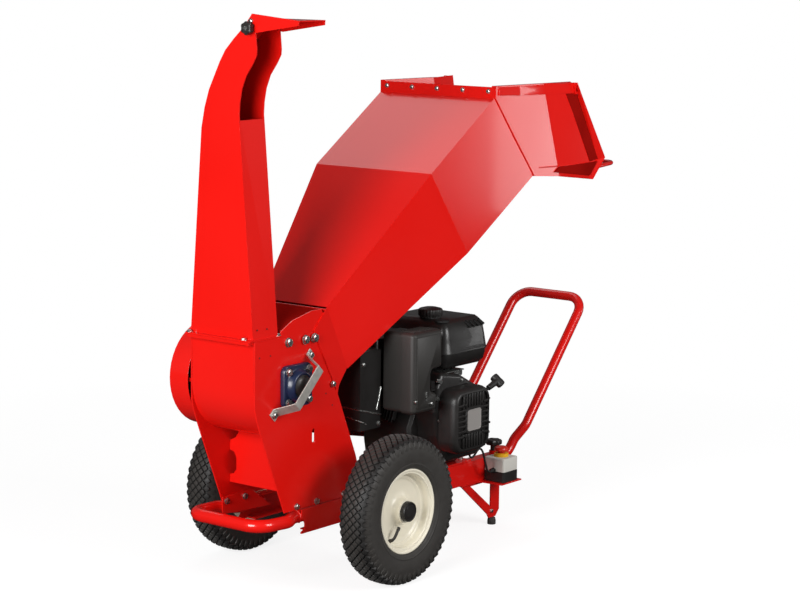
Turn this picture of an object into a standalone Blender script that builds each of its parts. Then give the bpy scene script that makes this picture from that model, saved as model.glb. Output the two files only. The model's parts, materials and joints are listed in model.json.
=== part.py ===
# Petrol wood chipper on two wheels.
# X runs from the discharge chute (minus) to the push handle (plus), Z is up,
# and the side with the recoil starter and the stop switch faces minus Y.
# Sizes along X are measured from the axle, and the last lines centre the machine.

import math

import bmesh
import bpy
from mathutils import Matrix, Vector

# Driving dimensions, in metres

GAP = 0.0003
SHEET = 0.004
MIDDLE_X = 0.3741

AXLE_Z = 0.200
AXLE_R = 0.010
WHEEL_Y = 0.271
WHEEL_SIDES = 28
RIM_R = 0.1125
RIM_SEAT_R = 0.1018

RAIL_TOP = 0.212
RAIL_BOTTOM = 0.147
RAIL_Y = 0.1145
RAIL_FLANGE = 0.036
RAIL_FRONT = -0.205
RAIL_REAR = 0.715

PLATE_Y = 0.1106
HOUSING_FRONT = -0.387
HOUSING_TOP = 0.6805
FLANGE_FRONT = -0.4065
ROTOR_X = -0.232
ROTOR_Z = 0.548
DRUM_WALL_R = 0.140

SHAFT_R = 0.0175
BELT_Y = 0.165
ROTOR_PULLEY_R = 0.100
CLUTCH_PULLEY_R = 0.055
PULLEY_HALF_W = 0.020

CHUTE_FRONT = -0.390
CHUTE_DEPTH = 0.095
CHUTE_BASE = HOUSING_TOP + GAP
HOOD_Y = -0.100
HOOD_Z = 1.468

ENGINE_PLATE_TOP = RAIL_TOP + GAP + 0.006
ENGINE_BASE = ENGINE_PLATE_TOP + GAP
CRANK_X = 0.395
CRANK_Z = 0.362

TUBE_R = 0.014
HANDLE_Y = RAIL_Y - SHEET - GAP - TUBE_R
HANDLE_LOW_Z = RAIL_TOP - SHEET - GAP - TUBE_R
KNOB_X = 0.678

# Start from an empty scene

for old in list(bpy.data.objects):
    bpy.data.objects.remove(old, do_unlink=True)

parts = bpy.data.collections.new("wood_chipper")
cutters = bpy.data.collections.new("cutters")
bpy.context.scene.collection.children.link(parts)
bpy.context.scene.collection.children.link(cutters)


def material(name, colour, roughness, metallic=0.0):
    """A Principled material with the part's colour, roughness and metallic value."""
    made = bpy.data.materials.new(name)
    made.use_nodes = True
    shader = made.node_tree.nodes["Principled BSDF"]
    shader.inputs["Base Color"].default_value = (*colour, 1.0)
    shader.inputs["Roughness"].default_value = roughness
    shader.inputs["Metallic"].default_value = metallic
    return made


RED_PAINT = material("red_powder_coat", (0.75, 0.015, 0.010), 0.25)
CREAM_PAINT = material("cream_rim_paint", (0.80, 0.76, 0.66), 0.35)
BLACK_PAINT = material("black_engine_paint", (0.015, 0.015, 0.016), 0.45)
BLACK_PLASTIC = material("black_plastic", (0.018, 0.018, 0.019), 0.50)
RUBBER = material("rubber", (0.012, 0.012, 0.012), 0.80)
ZINC = material("zinc_plate", (0.62, 0.62, 0.60), 0.38, 1.0)
STEEL = material("steel", (0.55, 0.55, 0.56), 0.30, 1.0)
CAST_ALUMINIUM = material("cast_aluminium", (0.55, 0.55, 0.55), 0.50, 1.0)
BLUE_CAST = material("blue_painted_casting", (0.010, 0.020, 0.060), 0.40)
GREY_PLASTIC = material("grey_plastic", (0.52, 0.52, 0.50), 0.45)
RED_PLASTIC = material("red_plastic", (0.65, 0.02, 0.015), 0.35)


# Shaping helpers

def add_object(name, mesh, look, matrix=None, holder=parts):
    """Link a new object for a mesh, placed by a matrix."""
    thing = bpy.data.objects.new(name, mesh)
    if look is not None:
        thing.data.materials.append(look)
    if matrix is not None:
        thing.matrix_world = matrix
    holder.objects.link(thing)
    return thing


def mesh_from_bmesh(name, shape):
    mesh = bpy.data.meshes.new(name)
    bmesh.ops.recalc_face_normals(shape, faces=shape.faces)
    shape.to_mesh(mesh)
    shape.free()
    return mesh


def box(name, low, high, look, holder=parts):
    """A block between two corners."""
    shape = bmesh.new()
    bmesh.ops.create_cube(shape, size=1.0)
    size = [high[i] - low[i] for i in range(3)]
    middle = [(high[i] + low[i]) / 2 for i in range(3)]
    bmesh.ops.scale(shape, vec=size, verts=shape.verts)
    mesh = mesh_from_bmesh(name, shape)
    return add_object(name, mesh, look, Matrix.Translation(middle), holder)


def rod(name, start, end, radius, look, sides=20, end_radius=None, holder=parts):
    """A round bar or cone frustum between two points."""
    start = Vector(start)
    end = Vector(end)
    along = end - start
    shape = bmesh.new()
    bmesh.ops.create_cone(
        shape, cap_ends=True, segments=sides, depth=along.length,
        radius1=radius, radius2=radius if end_radius is None else end_radius)
    mesh = mesh_from_bmesh(name, shape)
    turn = along.to_track_quat("Z", "Y").to_matrix().to_4x4()
    return add_object(name, mesh, look, Matrix.Translation((start + end) / 2) @ turn, holder)


# Local X and Y of an outline lie along X and Z of the machine, or along Y and Z, or along X and Y
UPRIGHT_ALONG = Matrix.Rotation(math.pi / 2, 4, "X")
UPRIGHT_ACROSS = Matrix.Rotation(math.pi / 2, 4, "Z") @ Matrix.Rotation(math.pi / 2, 4, "X")
FLAT = Matrix.Identity(4)


def plate(name, outline, plane, low, high, look, holder=parts, holes=()):
    """A flat outline, with holes, given thickness from low to high on the axis square to its plane."""
    curve = bpy.data.curves.new(name + "_outline", "CURVE")
    curve.dimensions = "2D"
    curve.fill_mode = "BOTH"
    curve.extrude = (high - low) / 2
    for ring in (outline, *holes):
        line = curve.splines.new("POLY")
        line.points.add(len(ring) - 1)
        line.use_cyclic_u = True
        for point, (x, y) in zip(line.points, ring):
            point.co = (x, y, 0.0, 1.0)
    drawn = bpy.data.objects.new(name + "_outline", curve)
    bpy.context.scene.collection.objects.link(drawn)
    bpy.context.view_layer.update()
    evaluated = drawn.evaluated_get(bpy.context.evaluated_depsgraph_get())
    mesh = bpy.data.meshes.new_from_object(evaluated)
    mesh.materials.clear()
    shape = bmesh.new()
    shape.from_mesh(mesh)
    bmesh.ops.remove_doubles(shape, verts=shape.verts, dist=0.00001)
    bmesh.ops.recalc_face_normals(shape, faces=shape.faces)
    shape.to_mesh(mesh)
    shape.free()
    bpy.data.objects.remove(drawn)
    square = plane @ Vector((0, 0, 1))
    middle = (high + low) / 2
    place = Vector([abs(value) for value in square]) * middle
    return add_object(name, mesh, look, Matrix.Translation(place) @ plane, holder)


def turned(name, profile, centre, axis, look, sides=32, closed=True):
    """A profile of (radius, height) points, running down its outer side, turned round an axis."""
    shape = bmesh.new()
    points = [shape.verts.new((radius, 0.0, height)) for radius, height in profile]
    for first, second in zip(points, points[1:]):
        shape.edges.new((first, second))
    if closed:
        shape.edges.new((points[-1], points[0]))
    mesh = bpy.data.meshes.new(name)
    shape.to_mesh(mesh)
    shape.free()
    turn = Vector(axis).to_track_quat("Z", "Y").to_matrix().to_4x4()
    thing = add_object(name, mesh, look, Matrix.Translation(centre) @ turn)
    screw = thing.modifiers.new("turn", "SCREW")
    screw.steps = sides
    screw.render_steps = sides
    screw.use_merge_vertices = True
    screw.merge_threshold = 0.00001
    screw.use_smooth_shade = True
    return thing


def tube(name, points, radius, look, cyclic=False, resolution=2):
    """A round tube along a chain of points, with filled ends."""
    curve = bpy.data.curves.new(name, "CURVE")
    curve.dimensions = "3D"
    curve.bevel_depth = radius
    curve.bevel_resolution = resolution
    curve.use_fill_caps = not cyclic
    line = curve.splines.new("POLY")
    line.points.add(len(points) - 1)
    line.use_cyclic_u = cyclic
    for point, place in zip(line.points, points):
        point.co = (*place, 1.0)
    return add_object(name, curve, look)


def combine(target, other, operation):
    """Cut a helper solid from a part, or join it on, and put the helper with the cutters."""
    step = target.modifiers.new(operation.lower(), "BOOLEAN")
    step.operation = operation
    step.solver = "EXACT"
    step.object = other
    other.hide_render = True
    other.display_type = "WIRE"
    for holder in list(other.users_collection):
        holder.objects.unlink(other)
    cutters.objects.link(other)
    return target


def cut(target, other):
    return combine(target, other, "DIFFERENCE")


def join(target, other):
    return combine(target, other, "UNION")


def soften(thing, width, segments=1, angle=40):
    """Round the sharp edges of a part."""
    edge = thing.modifiers.new("edges", "BEVEL")
    edge.width = width
    edge.segments = segments
    edge.limit_method = "ANGLE"
    edge.angle_limit = math.radians(angle)
    return thing


def arc(centre, radius, start, end, steps):
    """Points on a circle, or on an ellipse when the radius is a pair, between two angles in degrees."""
    wide, high = radius if isinstance(radius, tuple) else (radius, radius)
    points = []
    for step in range(steps + 1):
        angle = math.radians(start + (end - start) * step / steps)
        points.append((centre[0] + wide * math.cos(angle), centre[1] + high * math.sin(angle)))
    return points


def inset(outline, distance):
    """An anticlockwise outline moved inwards by the same distance on every side."""
    moved = []
    for index, here in enumerate(outline):
        here = Vector(here)
        before = (here - Vector(outline[index - 1])).normalized()
        after = (Vector(outline[(index + 1) % len(outline)]) - here).normalized()
        first = Vector((-before.y, before.x))
        second = Vector((-after.y, after.x))
        mid = (first + second).normalized()
        moved.append(tuple(here + mid * distance / mid.dot(first)))
    return moved


def rounded(outline, radius, steps=3):
    """An outline with each corner replaced by an arc that meets both sides."""
    points = []
    for index, here in enumerate(outline):
        here = Vector(here)
        before = (Vector(outline[index - 1]) - here).normalized()
        after = (Vector(outline[(index + 1) % len(outline)]) - here).normalized()
        half = before.angle(after) / 2
        reach = radius / math.tan(half)
        centre = here + (before + after).normalized() * radius / math.sin(half)
        first = here + before * reach - centre
        last = here + after * reach - centre
        sweep = first.angle_signed(last)
        for step in range(steps + 1):
            turn = Matrix.Rotation(-sweep * step / steps, 2)
            points.append(tuple(centre + turn @ first))
    return points


def belt_line(radius_a, radius_b, steps=14):
    """The outline round two circles at the rotor and the crankshaft, anticlockwise."""
    first = Vector((ROTOR_X, ROTOR_Z))
    second = Vector((CRANK_X, CRANK_Z))
    along = second - first
    lean = math.degrees(math.atan2(along.y, along.x))
    open_half = math.degrees(math.acos((radius_a - radius_b) / along.length))
    big = arc(first, radius_a, lean + open_half, lean + 360 - open_half, steps)
    small = arc(second, radius_b, lean - open_half, lean + open_half, steps // 2)
    return big + small


def ring_loft(name, rings, look, thickness=0.0):
    """A skin through rings with the same number of points, given a wall, or closed at both ends."""
    shape = bmesh.new()
    rows = [[shape.verts.new(point) for point in ring] for ring in rings]
    count = len(rings[0])
    for near, far in zip(rows, rows[1:]):
        for index in range(count):
            after = (index + 1) % count
            shape.faces.new((near[index], near[after], far[after], far[index]))
    if thickness == 0.0:
        shape.faces.new(rows[0])
        shape.faces.new(rows[-1])
    mesh = mesh_from_bmesh(name, shape)
    thing = add_object(name, mesh, look)
    if thickness:
        wall = thing.modifiers.new("wall", "SOLIDIFY")
        wall.thickness = thickness
        wall.offset = -1.0
        wall.use_even_offset = True
    return thing


# Wheels: pneumatic tyres on pressed steel rims with a black hub cap. A tyre and its full inner tube are one ring

TYRE_HALF = [(0.1022, 0.0320), (0.1135, 0.0322), (0.1180, 0.0395), (0.1400, 0.0450),
             (0.1660, 0.0455), (0.1860, 0.0415), (0.1960, 0.0320), (0.2000, 0.0150)]
RIM_INNER_R = 0.0990
RIM_HALF = [(RIM_R, 0.0340), (RIM_SEAT_R, 0.0325), (RIM_SEAT_R, -0.0325), (RIM_R, -0.0340), (RIM_R, -0.0360),
            (0.1050, -0.0355), (RIM_INNER_R, -0.0280), (RIM_INNER_R, 0.0280), (0.1050, 0.0355), (RIM_R, 0.0360)]
DISC = [(0.0103, 0.0300), (0.0300, 0.0300), (0.0300, 0.0060), (0.0820, 0.0060), (RIM_INNER_R - GAP, 0.0130),
        (RIM_INNER_R - GAP, -0.0060), (0.0820, 0.0000), (0.0250, 0.0000), (0.0250, -0.0300), (0.0103, -0.0300)]


def tyre_profile():
    return TYRE_HALF + [(radius, -height) for radius, height in reversed(TYRE_HALF)]


def make_wheel(side, sign):
    centre = (0.0, sign * WHEEL_Y, AXLE_Z)
    outward = (0.0, sign, 0.0)
    turned("tyre_" + side, tyre_profile(), centre, outward, RUBBER, WHEEL_SIDES)
    turned("rim_" + side, RIM_HALF, centre, outward, CREAM_PAINT, WHEEL_SIDES)
    turned("wheel_disc_" + side, DISC, centre, outward, CREAM_PAINT, WHEEL_SIDES)
    cap = [(0.0, 0.0460), (0.0180, 0.0450), (0.0260, 0.0400), (0.0270, 0.0303), (0.0105, 0.0303),
           (0.0105, 0.0380), (0.0, 0.0380)]
    turned("hub_cap_" + side, cap, centre, outward, BLACK_PLASTIC, 24, closed=False)


make_wheel("near", -1)
make_wheel("far", 1)

# Chassis: two folded channel rails, an engine plate, the axle and the tow bar

AXLE_HALF = WHEEL_Y + 0.0370
BOSS_TOP = RAIL_TOP + 0.008


def make_rail(side, sign):
    web = RAIL_Y - SHEET
    lip = RAIL_Y - RAIL_FLANGE
    section = [(RAIL_Y, RAIL_BOTTOM), (RAIL_Y, RAIL_TOP), (lip, RAIL_TOP), (lip, RAIL_TOP - SHEET),
               (web, RAIL_TOP - SHEET), (web, RAIL_BOTTOM + SHEET), (lip, RAIL_BOTTOM + SHEET),
               (lip, RAIL_BOTTOM)]
    section = [(sign * y, z) for y, z in section]
    rail = plate("chassis_rail_" + side, section, UPRIGHT_ACROSS, RAIL_FRONT, RAIL_REAR, RED_PAINT)
    hole = rod("axle_hole_" + side, (0, sign * 0.07, AXLE_Z), (0, sign * 0.13, AXLE_Z), AXLE_R + GAP, None)
    cut(rail, hole)
    nose = rod("nose_cut_" + side, (RAIL_FRONT - 0.002, sign * 0.06, 0.1685),
               (RAIL_FRONT - 0.002, sign * 0.14, 0.1685), 0.0155, None)
    cut(rail, nose)
    relief_low, relief_high = sorted((sign * (lip - 0.010), sign * (web - 0.002)))
    cut(rail, box("flange_relief_" + side, (RAIL_FRONT - 0.010, relief_low, RAIL_BOTTOM - 0.010),
                  (RAIL_FRONT + 0.035, relief_high, RAIL_BOTTOM + SHEET + 0.001), None))
    saddle_low, saddle_high = sorted((sign * (HANDLE_Y - 0.012), sign * (web + 0.001)))
    join(rail, box("saddle_" + side, (KNOB_X - 0.015, saddle_low, RAIL_BOTTOM + SHEET - 0.001),
                   (KNOB_X + 0.015, saddle_high, HANDLE_LOW_Z - TUBE_R - GAP), RED_PAINT))
    if sign < 0:
        boss = rod("clamp_boss", (KNOB_X, -HANDLE_Y, RAIL_TOP - 0.002), (KNOB_X, -HANDLE_Y, BOSS_TOP),
                   0.013, RED_PAINT)
        join(rail, boss)
        bore = rod("clamp_bore", (KNOB_X, -HANDLE_Y, RAIL_TOP - 0.010),
                   (KNOB_X, -HANDLE_Y, RAIL_TOP + 0.030), 0.0053, None)
        cut(rail, bore)
    return rail


make_rail("near", -1)
make_rail("far", 1)
rod("axle", (0, -AXLE_HALF, AXLE_Z), (0, AXLE_HALF, AXLE_Z), AXLE_R, STEEL)
box("engine_plate", (0.235, -RAIL_Y, RAIL_TOP + GAP), (0.545, RAIL_Y, ENGINE_PLATE_TOP), RED_PAINT)


def bent_path(corners, radius, steps=5):
    """A chain of points through corners, with each inner corner bent to a radius."""
    corners = [Vector(corner) for corner in corners]
    path = [corners[0]]
    for before, here, after in zip(corners, corners[1:], corners[2:]):
        back = (before - here).normalized()
        on = (after - here).normalized()
        half = back.angle(on) / 2
        reach = radius / math.tan(half)
        centre = here + (back + on).normalized() * radius / math.sin(half)
        first = here + back * reach - centre
        last = here + on * reach - centre
        sweep = first.angle(last)
        normal = first.cross(last).normalized()
        for step in range(steps + 1):
            path.append(centre + Matrix.Rotation(sweep * step / steps, 3, normal) @ first)
    path.append(corners[-1])
    return path


TOW_R = 0.017
TOW_IN_Y = RAIL_Y - SHEET - GAP - TOW_R
tow_half = [(-0.130, TOW_IN_Y, 0.1903), (-0.220, TOW_IN_Y, 0.1903), (-0.272, 0.1245, 0.1945),
            (-0.380, 0.1190, 0.1985)]
tow_corners = [(x, -y, z) for x, y, z in tow_half] + list(reversed(tow_half))
tube("tow_bar", bent_path(tow_corners, 0.046), TOW_R, RED_PAINT)

# Rotor housing: two side plates, the curved drum wall, the top sheet, the anvil bed and a cross plate

PLATE_OUTLINE = [(HOUSING_FRONT, HOUSING_TOP), (HOUSING_FRONT, 0.505), (-0.379, 0.474), (-0.363, 0.434),
                 (-0.271, 0.214), (0.055, 0.214), (0.022, 0.320), (-0.056, 0.500), (-0.040, 0.558),
                 (-0.108, 0.704), (-0.125, 0.7345), (-0.164, 0.7345), (-0.240, 0.7182),
                 (-0.286, 0.6950), (-0.286, HOUSING_TOP)]
SLOT = rounded([(-0.160, 0.384), (-0.150, 0.384), (-0.150, 0.420), (-0.160, 0.420)], 0.0048)


def make_side_plate(side, sign):
    outline = PLATE_OUTLINE
    shaft_hole = arc((ROTOR_X, ROTOR_Z), 0.024, 0, 345, 23)
    low, high = sorted((sign * (PLATE_Y - SHEET), sign * PLATE_Y))
    return plate("side_plate_" + side, outline, UPRIGHT_ALONG, low, high, RED_PAINT,
                 holes=(SLOT, shaft_hole))


make_side_plate("near", -1)
make_side_plate("far", 1)

INNER_Y = PLATE_Y - SHEET - GAP


def drum_wall_outline():
    """The front sheet, which runs down, curves under the rotor and ends below the anvil."""
    middle = (HOUSING_FRONT + DRUM_WALL_R, ROTOR_Z)
    rear_half = 0.1265
    outer = [(HOUSING_FRONT, HOUSING_TOP)]
    outer += arc(middle, DRUM_WALL_R, 180, 270, 9)
    outer += arc(middle, (rear_half, DRUM_WALL_R), 278, 345, 6)
    inner = arc(middle, (rear_half - SHEET, DRUM_WALL_R - SHEET), 345, 278, 6)
    inner += arc(middle, DRUM_WALL_R - SHEET, 270, 180, 9)
    inner += [(HOUSING_FRONT + SHEET, HOUSING_TOP)]
    return outer + inner


drum_wall = plate("drum_wall", drum_wall_outline(), UPRIGHT_ALONG, -INNER_Y, INNER_Y, RED_PAINT)
join(drum_wall, box("front_flange", (FLANGE_FRONT, -INNER_Y, HOUSING_TOP - 0.0085),
                    (HOUSING_FRONT + 0.0005, INNER_Y, HOUSING_TOP), RED_PAINT))

top_sheet = [(-0.2855, 0.6905), (-0.2385, 0.7140), (-0.1620, 0.7300), (-0.1300, 0.7300), (-0.1300, 0.7340),
             (-0.1630, 0.7340), (-0.2400, 0.7177), (-0.2855, 0.6948)]
plate("housing_top", top_sheet, UPRIGHT_ALONG, -INNER_Y, INNER_Y, RED_PAINT)

BED_LOW = (-0.123, 0.5300)
bed = [BED_LOW, (-0.052, 0.5430), (-0.045, 0.5560), (-0.123, 0.5412)]
anvil_bed = plate("anvil_bed", bed, UPRIGHT_ALONG, -INNER_Y, INNER_Y, STEEL)
knife_bar = [(-0.1275, 0.5390), (-0.0900, 0.5462), (-0.0900, 0.5575), (-0.1240, 0.5510)]
join(anvil_bed, plate("counter_knife", knife_bar, UPRIGHT_ALONG, -0.0950, 0.0950, STEEL))

CROSS_X = -0.242
cross_high = ROTOR_Z - DRUM_WALL_R - 0.002
cross_half = [(INNER_Y, 0.2595), (INNER_Y, 0.2820), (0.0938, 0.2848), (0.0838, 0.2968), (0.0838, 0.3273),
              (0.0913, 0.3430), (INNER_Y, 0.3470), (INNER_Y, 0.3738), (0.0863, 0.3839), (0.0714, cross_high)]
cross = cross_half + [(-y, z) for y, z in reversed(cross_half)]
plate("cross_plate", cross, UPRIGHT_ACROSS, CROSS_X, CROSS_X + SHEET, RED_PAINT)

# Rotor: shaft in two square flange bearings, drum with two knives and two paddles

BEARING_HALF = 0.056


def square(centre, half):
    """The corners of a square, anticlockwise."""
    x, z = centre
    return [(x - half, z - half), (x + half, z - half), (x + half, z + half), (x - half, z + half)]


def make_bearing(side, sign, closed):
    face = sign * (PLATE_Y + GAP)
    flange = rounded(square((ROTOR_X, ROTOR_Z), BEARING_HALF), 0.018)
    low, high = sorted((face, face + sign * 0.013))
    casting = plate("bearing_" + side, flange, UPRIGHT_ALONG, low, high, BLUE_CAST)
    boss = rod("boss_" + side, (ROTOR_X, face + sign * 0.004, ROTOR_Z),
               (ROTOR_X, face + sign * 0.030, ROTOR_Z), 0.043, BLUE_CAST, 28, end_radius=0.036)
    join(casting, boss)
    reach = 0.024 if closed else 0.050
    bore = rod("bore_" + side, (ROTOR_X, face - sign * 0.010, ROTOR_Z),
               (ROTOR_X, face + sign * reach, ROTOR_Z), SHAFT_R + GAP, None, 24)
    return cut(casting, bore)


make_bearing("near", -1, True)
make_bearing("far", 1, False)
rod("rotor_shaft", (ROTOR_X, -(PLATE_Y + 0.022), ROTOR_Z), (ROTOR_X, BELT_Y + 0.026, ROTOR_Z), SHAFT_R,
    STEEL, 24)


def radial(angle, radius, along=0.0):
    """A point at an angle in degrees and a radius from the rotor axis, moved along the tangent."""
    turn = math.radians(angle)
    x = ROTOR_X + radius * math.cos(turn) - along * math.sin(turn)
    z = ROTOR_Z + radius * math.sin(turn) + along * math.cos(turn)
    return (x, z)


ROTOR_HALF = 0.0985
KNIFE_ANGLES = (20, 200)
drum_outline = arc((ROTOR_X, ROTOR_Z), 0.078, 0, 348.75, 31)
drum_bore = arc((ROTOR_X, ROTOR_Z), SHAFT_R + GAP, 0, 345, 23)
drum = plate("rotor_drum", drum_outline, UPRIGHT_ALONG, -ROTOR_HALF, ROTOR_HALF, BLACK_PAINT,
             holes=(drum_bore,))
for number, angle in enumerate(KNIFE_ANGLES):
    seat = [radial(angle, 0.0650, -0.0110), radial(angle, 0.1100, -0.0110),
            radial(angle, 0.1100, 0.0450), radial(angle, 0.0650, 0.0450)]
    seat_cut = plate("knife_seat_%d" % number, seat, UPRIGHT_ALONG, -0.110, 0.110, None)
    cut(drum, seat_cut)
    blade = [radial(angle, 0.0653, -0.0105), radial(angle, 0.0750, -0.0105),
             radial(angle, 0.0985, 0.0000), radial(angle, 0.0800, 0.0300), radial(angle, 0.0653, 0.0300)]
    plate("knife_%s" % "ab"[number], blade, UPRIGHT_ALONG, -0.0950, 0.0950, STEEL)
    paddle = [radial(angle + 90, 0.0700, -0.004), radial(angle + 90, 0.0970, -0.004),
              radial(angle + 90, 0.0970, 0.004), radial(angle + 90, 0.0700, 0.004)]
    paddle_join = plate("paddle_%d" % number, paddle, UPRIGHT_ALONG, -0.0900, 0.0900, BLACK_PAINT)
    join(drum, paddle_join)

# Galvanised strap over the near bearing

STRAP_W = 0.014
STRAP_T = 0.003
STRAP_LEG = 0.090
STRAP_FOOT = 0.110
STRAP_CREST = 0.062
STRAP_ANGLE = 44.2
strap_foot = PLATE_Y + GAP
strap_out = PLATE_Y + 0.060
strap_place = Matrix.Translation((ROTOR_X - 0.0112, 0, ROTOR_Z + 0.0025))
strap_half = [(STRAP_CREST, strap_out - STRAP_T), (STRAP_LEG, strap_foot), (STRAP_FOOT, strap_foot),
              (STRAP_FOOT, strap_foot + STRAP_T), (STRAP_LEG + 0.0020, strap_foot + STRAP_T),
              (STRAP_CREST + 0.0020, strap_out)]
strap_profile = strap_half + [(-along, out) for along, out in reversed(strap_half)]
strap_profile = [(along, -out) for along, out in strap_profile]
strap = plate("bearing_guard", strap_profile, FLAT, -STRAP_W, STRAP_W, ZINC)
strap.matrix_world = strap_place @ Matrix.Rotation(math.radians(-STRAP_ANGLE), 4, "Y")

# Belt drive: pulleys, belt and the guard over them


def make_pulley(name, x, z, radius, bore):
    """A pulley with a shallow belt groove, on a plain hub."""
    half = PULLEY_HALF_W
    profile = [(bore, half), (radius + 0.003, half), (radius, half - 0.003),
               (radius, -half + 0.003), (radius + 0.003, -half), (bore, -half)]
    return turned(name, profile, (x, BELT_Y, z), (0, 1, 0), STEEL, 28)


BELT_HALF_W = PULLEY_HALF_W - 0.0034
make_pulley("rotor_pulley", ROTOR_X, ROTOR_Z, ROTOR_PULLEY_R, SHAFT_R + GAP)
make_pulley("clutch_pulley", CRANK_X, CRANK_Z, CLUTCH_PULLEY_R, 0.0128)
plate("drive_belt", belt_line(ROTOR_PULLEY_R + 0.0083, CLUTCH_PULLEY_R + 0.0083, 28), UPRIGHT_ALONG,
      BELT_Y - BELT_HALF_W, BELT_Y + BELT_HALF_W, RUBBER,
      holes=(belt_line(ROTOR_PULLEY_R + 0.0006, CLUTCH_PULLEY_R + 0.0006, 28),))

GUARD_R = 0.140
GUARD_SMALL_R = 0.088
GUARD_LOW = 0.1360
GUARD_HIGH = 0.2010
guard = plate("belt_guard", belt_line(GUARD_R, GUARD_SMALL_R, 24), UPRIGHT_ALONG, GUARD_LOW, GUARD_HIGH,
              RED_PAINT)
cut(guard, plate("guard_hollow", belt_line(GUARD_R - 0.002, GUARD_SMALL_R - 0.002, 24), UPRIGHT_ALONG,
                 GUARD_LOW - 0.010, GUARD_HIGH - 0.002, None))
for number, angle in enumerate((180, 90, 270)):
    x, z = radial(angle, 0.1235)
    post = rod("guard_post_%d" % number, (x, PLATE_Y + GAP, z), (x, GUARD_HIGH - 0.001, z), 0.006,
               RED_PAINT, 12)
    join(guard, post)

# Discharge chute: a welded sheet duct on a bolted flange, open to the near side where it leans over

CHUTE_BACK = CHUTE_FRONT + CHUTE_DEPTH
CHUTE_SKIN = 0.003
CHUTE_NEAR_TOP = 1.2370
chute_far = [(0.1075, CHUTE_BASE), (0.0690, 1.2120), (0.0580, 1.2650), (0.0430, 1.3100), (0.0060, 1.3820),
             (-0.0120, 1.4105), (-0.0399, 1.4392), (-0.0648, 1.4616), (-0.0880, 1.4800)]
chute_near = [(-0.1080, 1.4820), (-0.1145, 1.4750), (-0.1140, 1.4560), (-0.1178, 1.4150), (-0.1165, 1.4000),
              (-0.1035, 1.3781), (-0.0815, 1.3485), (-0.0677, 1.3149), (-0.0608, 1.2795), (-0.0590, 1.2484),
              (-0.1075, CHUTE_BASE)]
chute_outline = chute_far + chute_near
chute = plate("chute", chute_outline, UPRIGHT_ACROSS, CHUTE_FRONT, CHUTE_BACK, RED_PAINT)
inner = inset(chute_outline, CHUTE_SKIN)
hollow = ([(inner[0][0] - 0.0005, CHUTE_BASE - 0.010)] + inner[1:8]
          + [(-0.0978, 1.4838), (-0.0978, 1.5000), (-0.1400, 1.5000), (-0.1400, CHUTE_NEAR_TOP),
             (-0.0570, CHUTE_NEAR_TOP), (inner[-1][0] + 0.0005, CHUTE_BASE - 0.010)])
base_flange = box("chute_flange", (FLANGE_FRONT, -0.1120, CHUTE_BASE),
                  (CHUTE_BACK + 0.008, 0.1120, CHUTE_BASE + 0.004), RED_PAINT)
join(chute, base_flange)
cut(chute, plate("chute_hollow", hollow, UPRIGHT_ACROSS, CHUTE_FRONT + CHUTE_SKIN, CHUTE_BACK - CHUTE_SKIN,
                 None))
cut(chute, rod("hood_pin_hole", (CHUTE_FRONT - 0.02, HOOD_Y, HOOD_Z), (CHUTE_BACK + 0.02, HOOD_Y, HOOD_Z),
               0.0045, None, 16))

# Deflector hood, which tips on the top of the chute and is held by a clamp knob

HOOD_FRONT = CHUTE_FRONT - 0.0030
HOOD_BACK = CHUTE_BACK + 0.0030
hood_outline = [(-0.0900, 1.4870), (-0.0900, 1.4620), (-0.1190, 1.4570), (-0.2560, 1.4780), (-0.2570, 1.4905),
                (-0.0930, 1.4905)]
hood = plate("deflector_hood", hood_outline, UPRIGHT_ACROSS, HOOD_FRONT, HOOD_BACK, RED_PAINT)
raised_edge = [(-0.2480, 1.4890), (-0.2480, 1.4912), (-0.1040, 1.5038), (-0.0925, 1.4890)]
join(hood, plate("hood_raised_edge", raised_edge, UPRIGHT_ACROSS, HOOD_FRONT, CHUTE_FRONT - 0.0006, RED_PAINT))
hood_hollow = [(-0.0500, 1.4840), (-0.0500, 1.4400), (-0.2700, 1.4400), (-0.2700, 1.4875), (-0.0960, 1.4875),
               (-0.0920, 1.4840)]
cut(hood, plate("hood_hollow", hood_hollow, UPRIGHT_ACROSS, CHUTE_FRONT - 0.0006, CHUTE_BACK + 0.0006, None))
cut(hood, rod("hood_bore", (HOOD_FRONT - 0.02, HOOD_Y, HOOD_Z), (HOOD_BACK + 0.02, HOOD_Y, HOOD_Z),
              0.0045, None, 16))

knob_face = HOOD_FRONT - GAP
hood_knob = [(0.0, 0.0200), (0.0130, 0.0195), (0.0165, 0.0160), (0.0165, 0.0060), (0.0090, 0.0030),
             (0.0080, 0.0000), (0.0040, 0.0000), (0.0040, -0.0120), (0.0, -0.0120)]
turned("hood_knob", hood_knob, (knob_face, HOOD_Y, HOOD_Z), (-1, 0, 0), BLACK_PLASTIC, 20, closed=False)

# Feed hopper: a folded sheet duct from the rotor throat to the bolted strip, then the flared mouth

HOPPER_SKIN = 0.003
HOPPER_W = 0.2010
THROAT_W = PLATE_Y + GAP + HOPPER_SKIN


def across(top, bottom, half):
    """A four-cornered ring of the hopper from its top edge, bottom edge and half width."""
    return [(top[0], -half, top[1]), (top[0], half, top[1]), (bottom[0], half, bottom[1]),
            (bottom[0], -half, bottom[1])]


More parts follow.
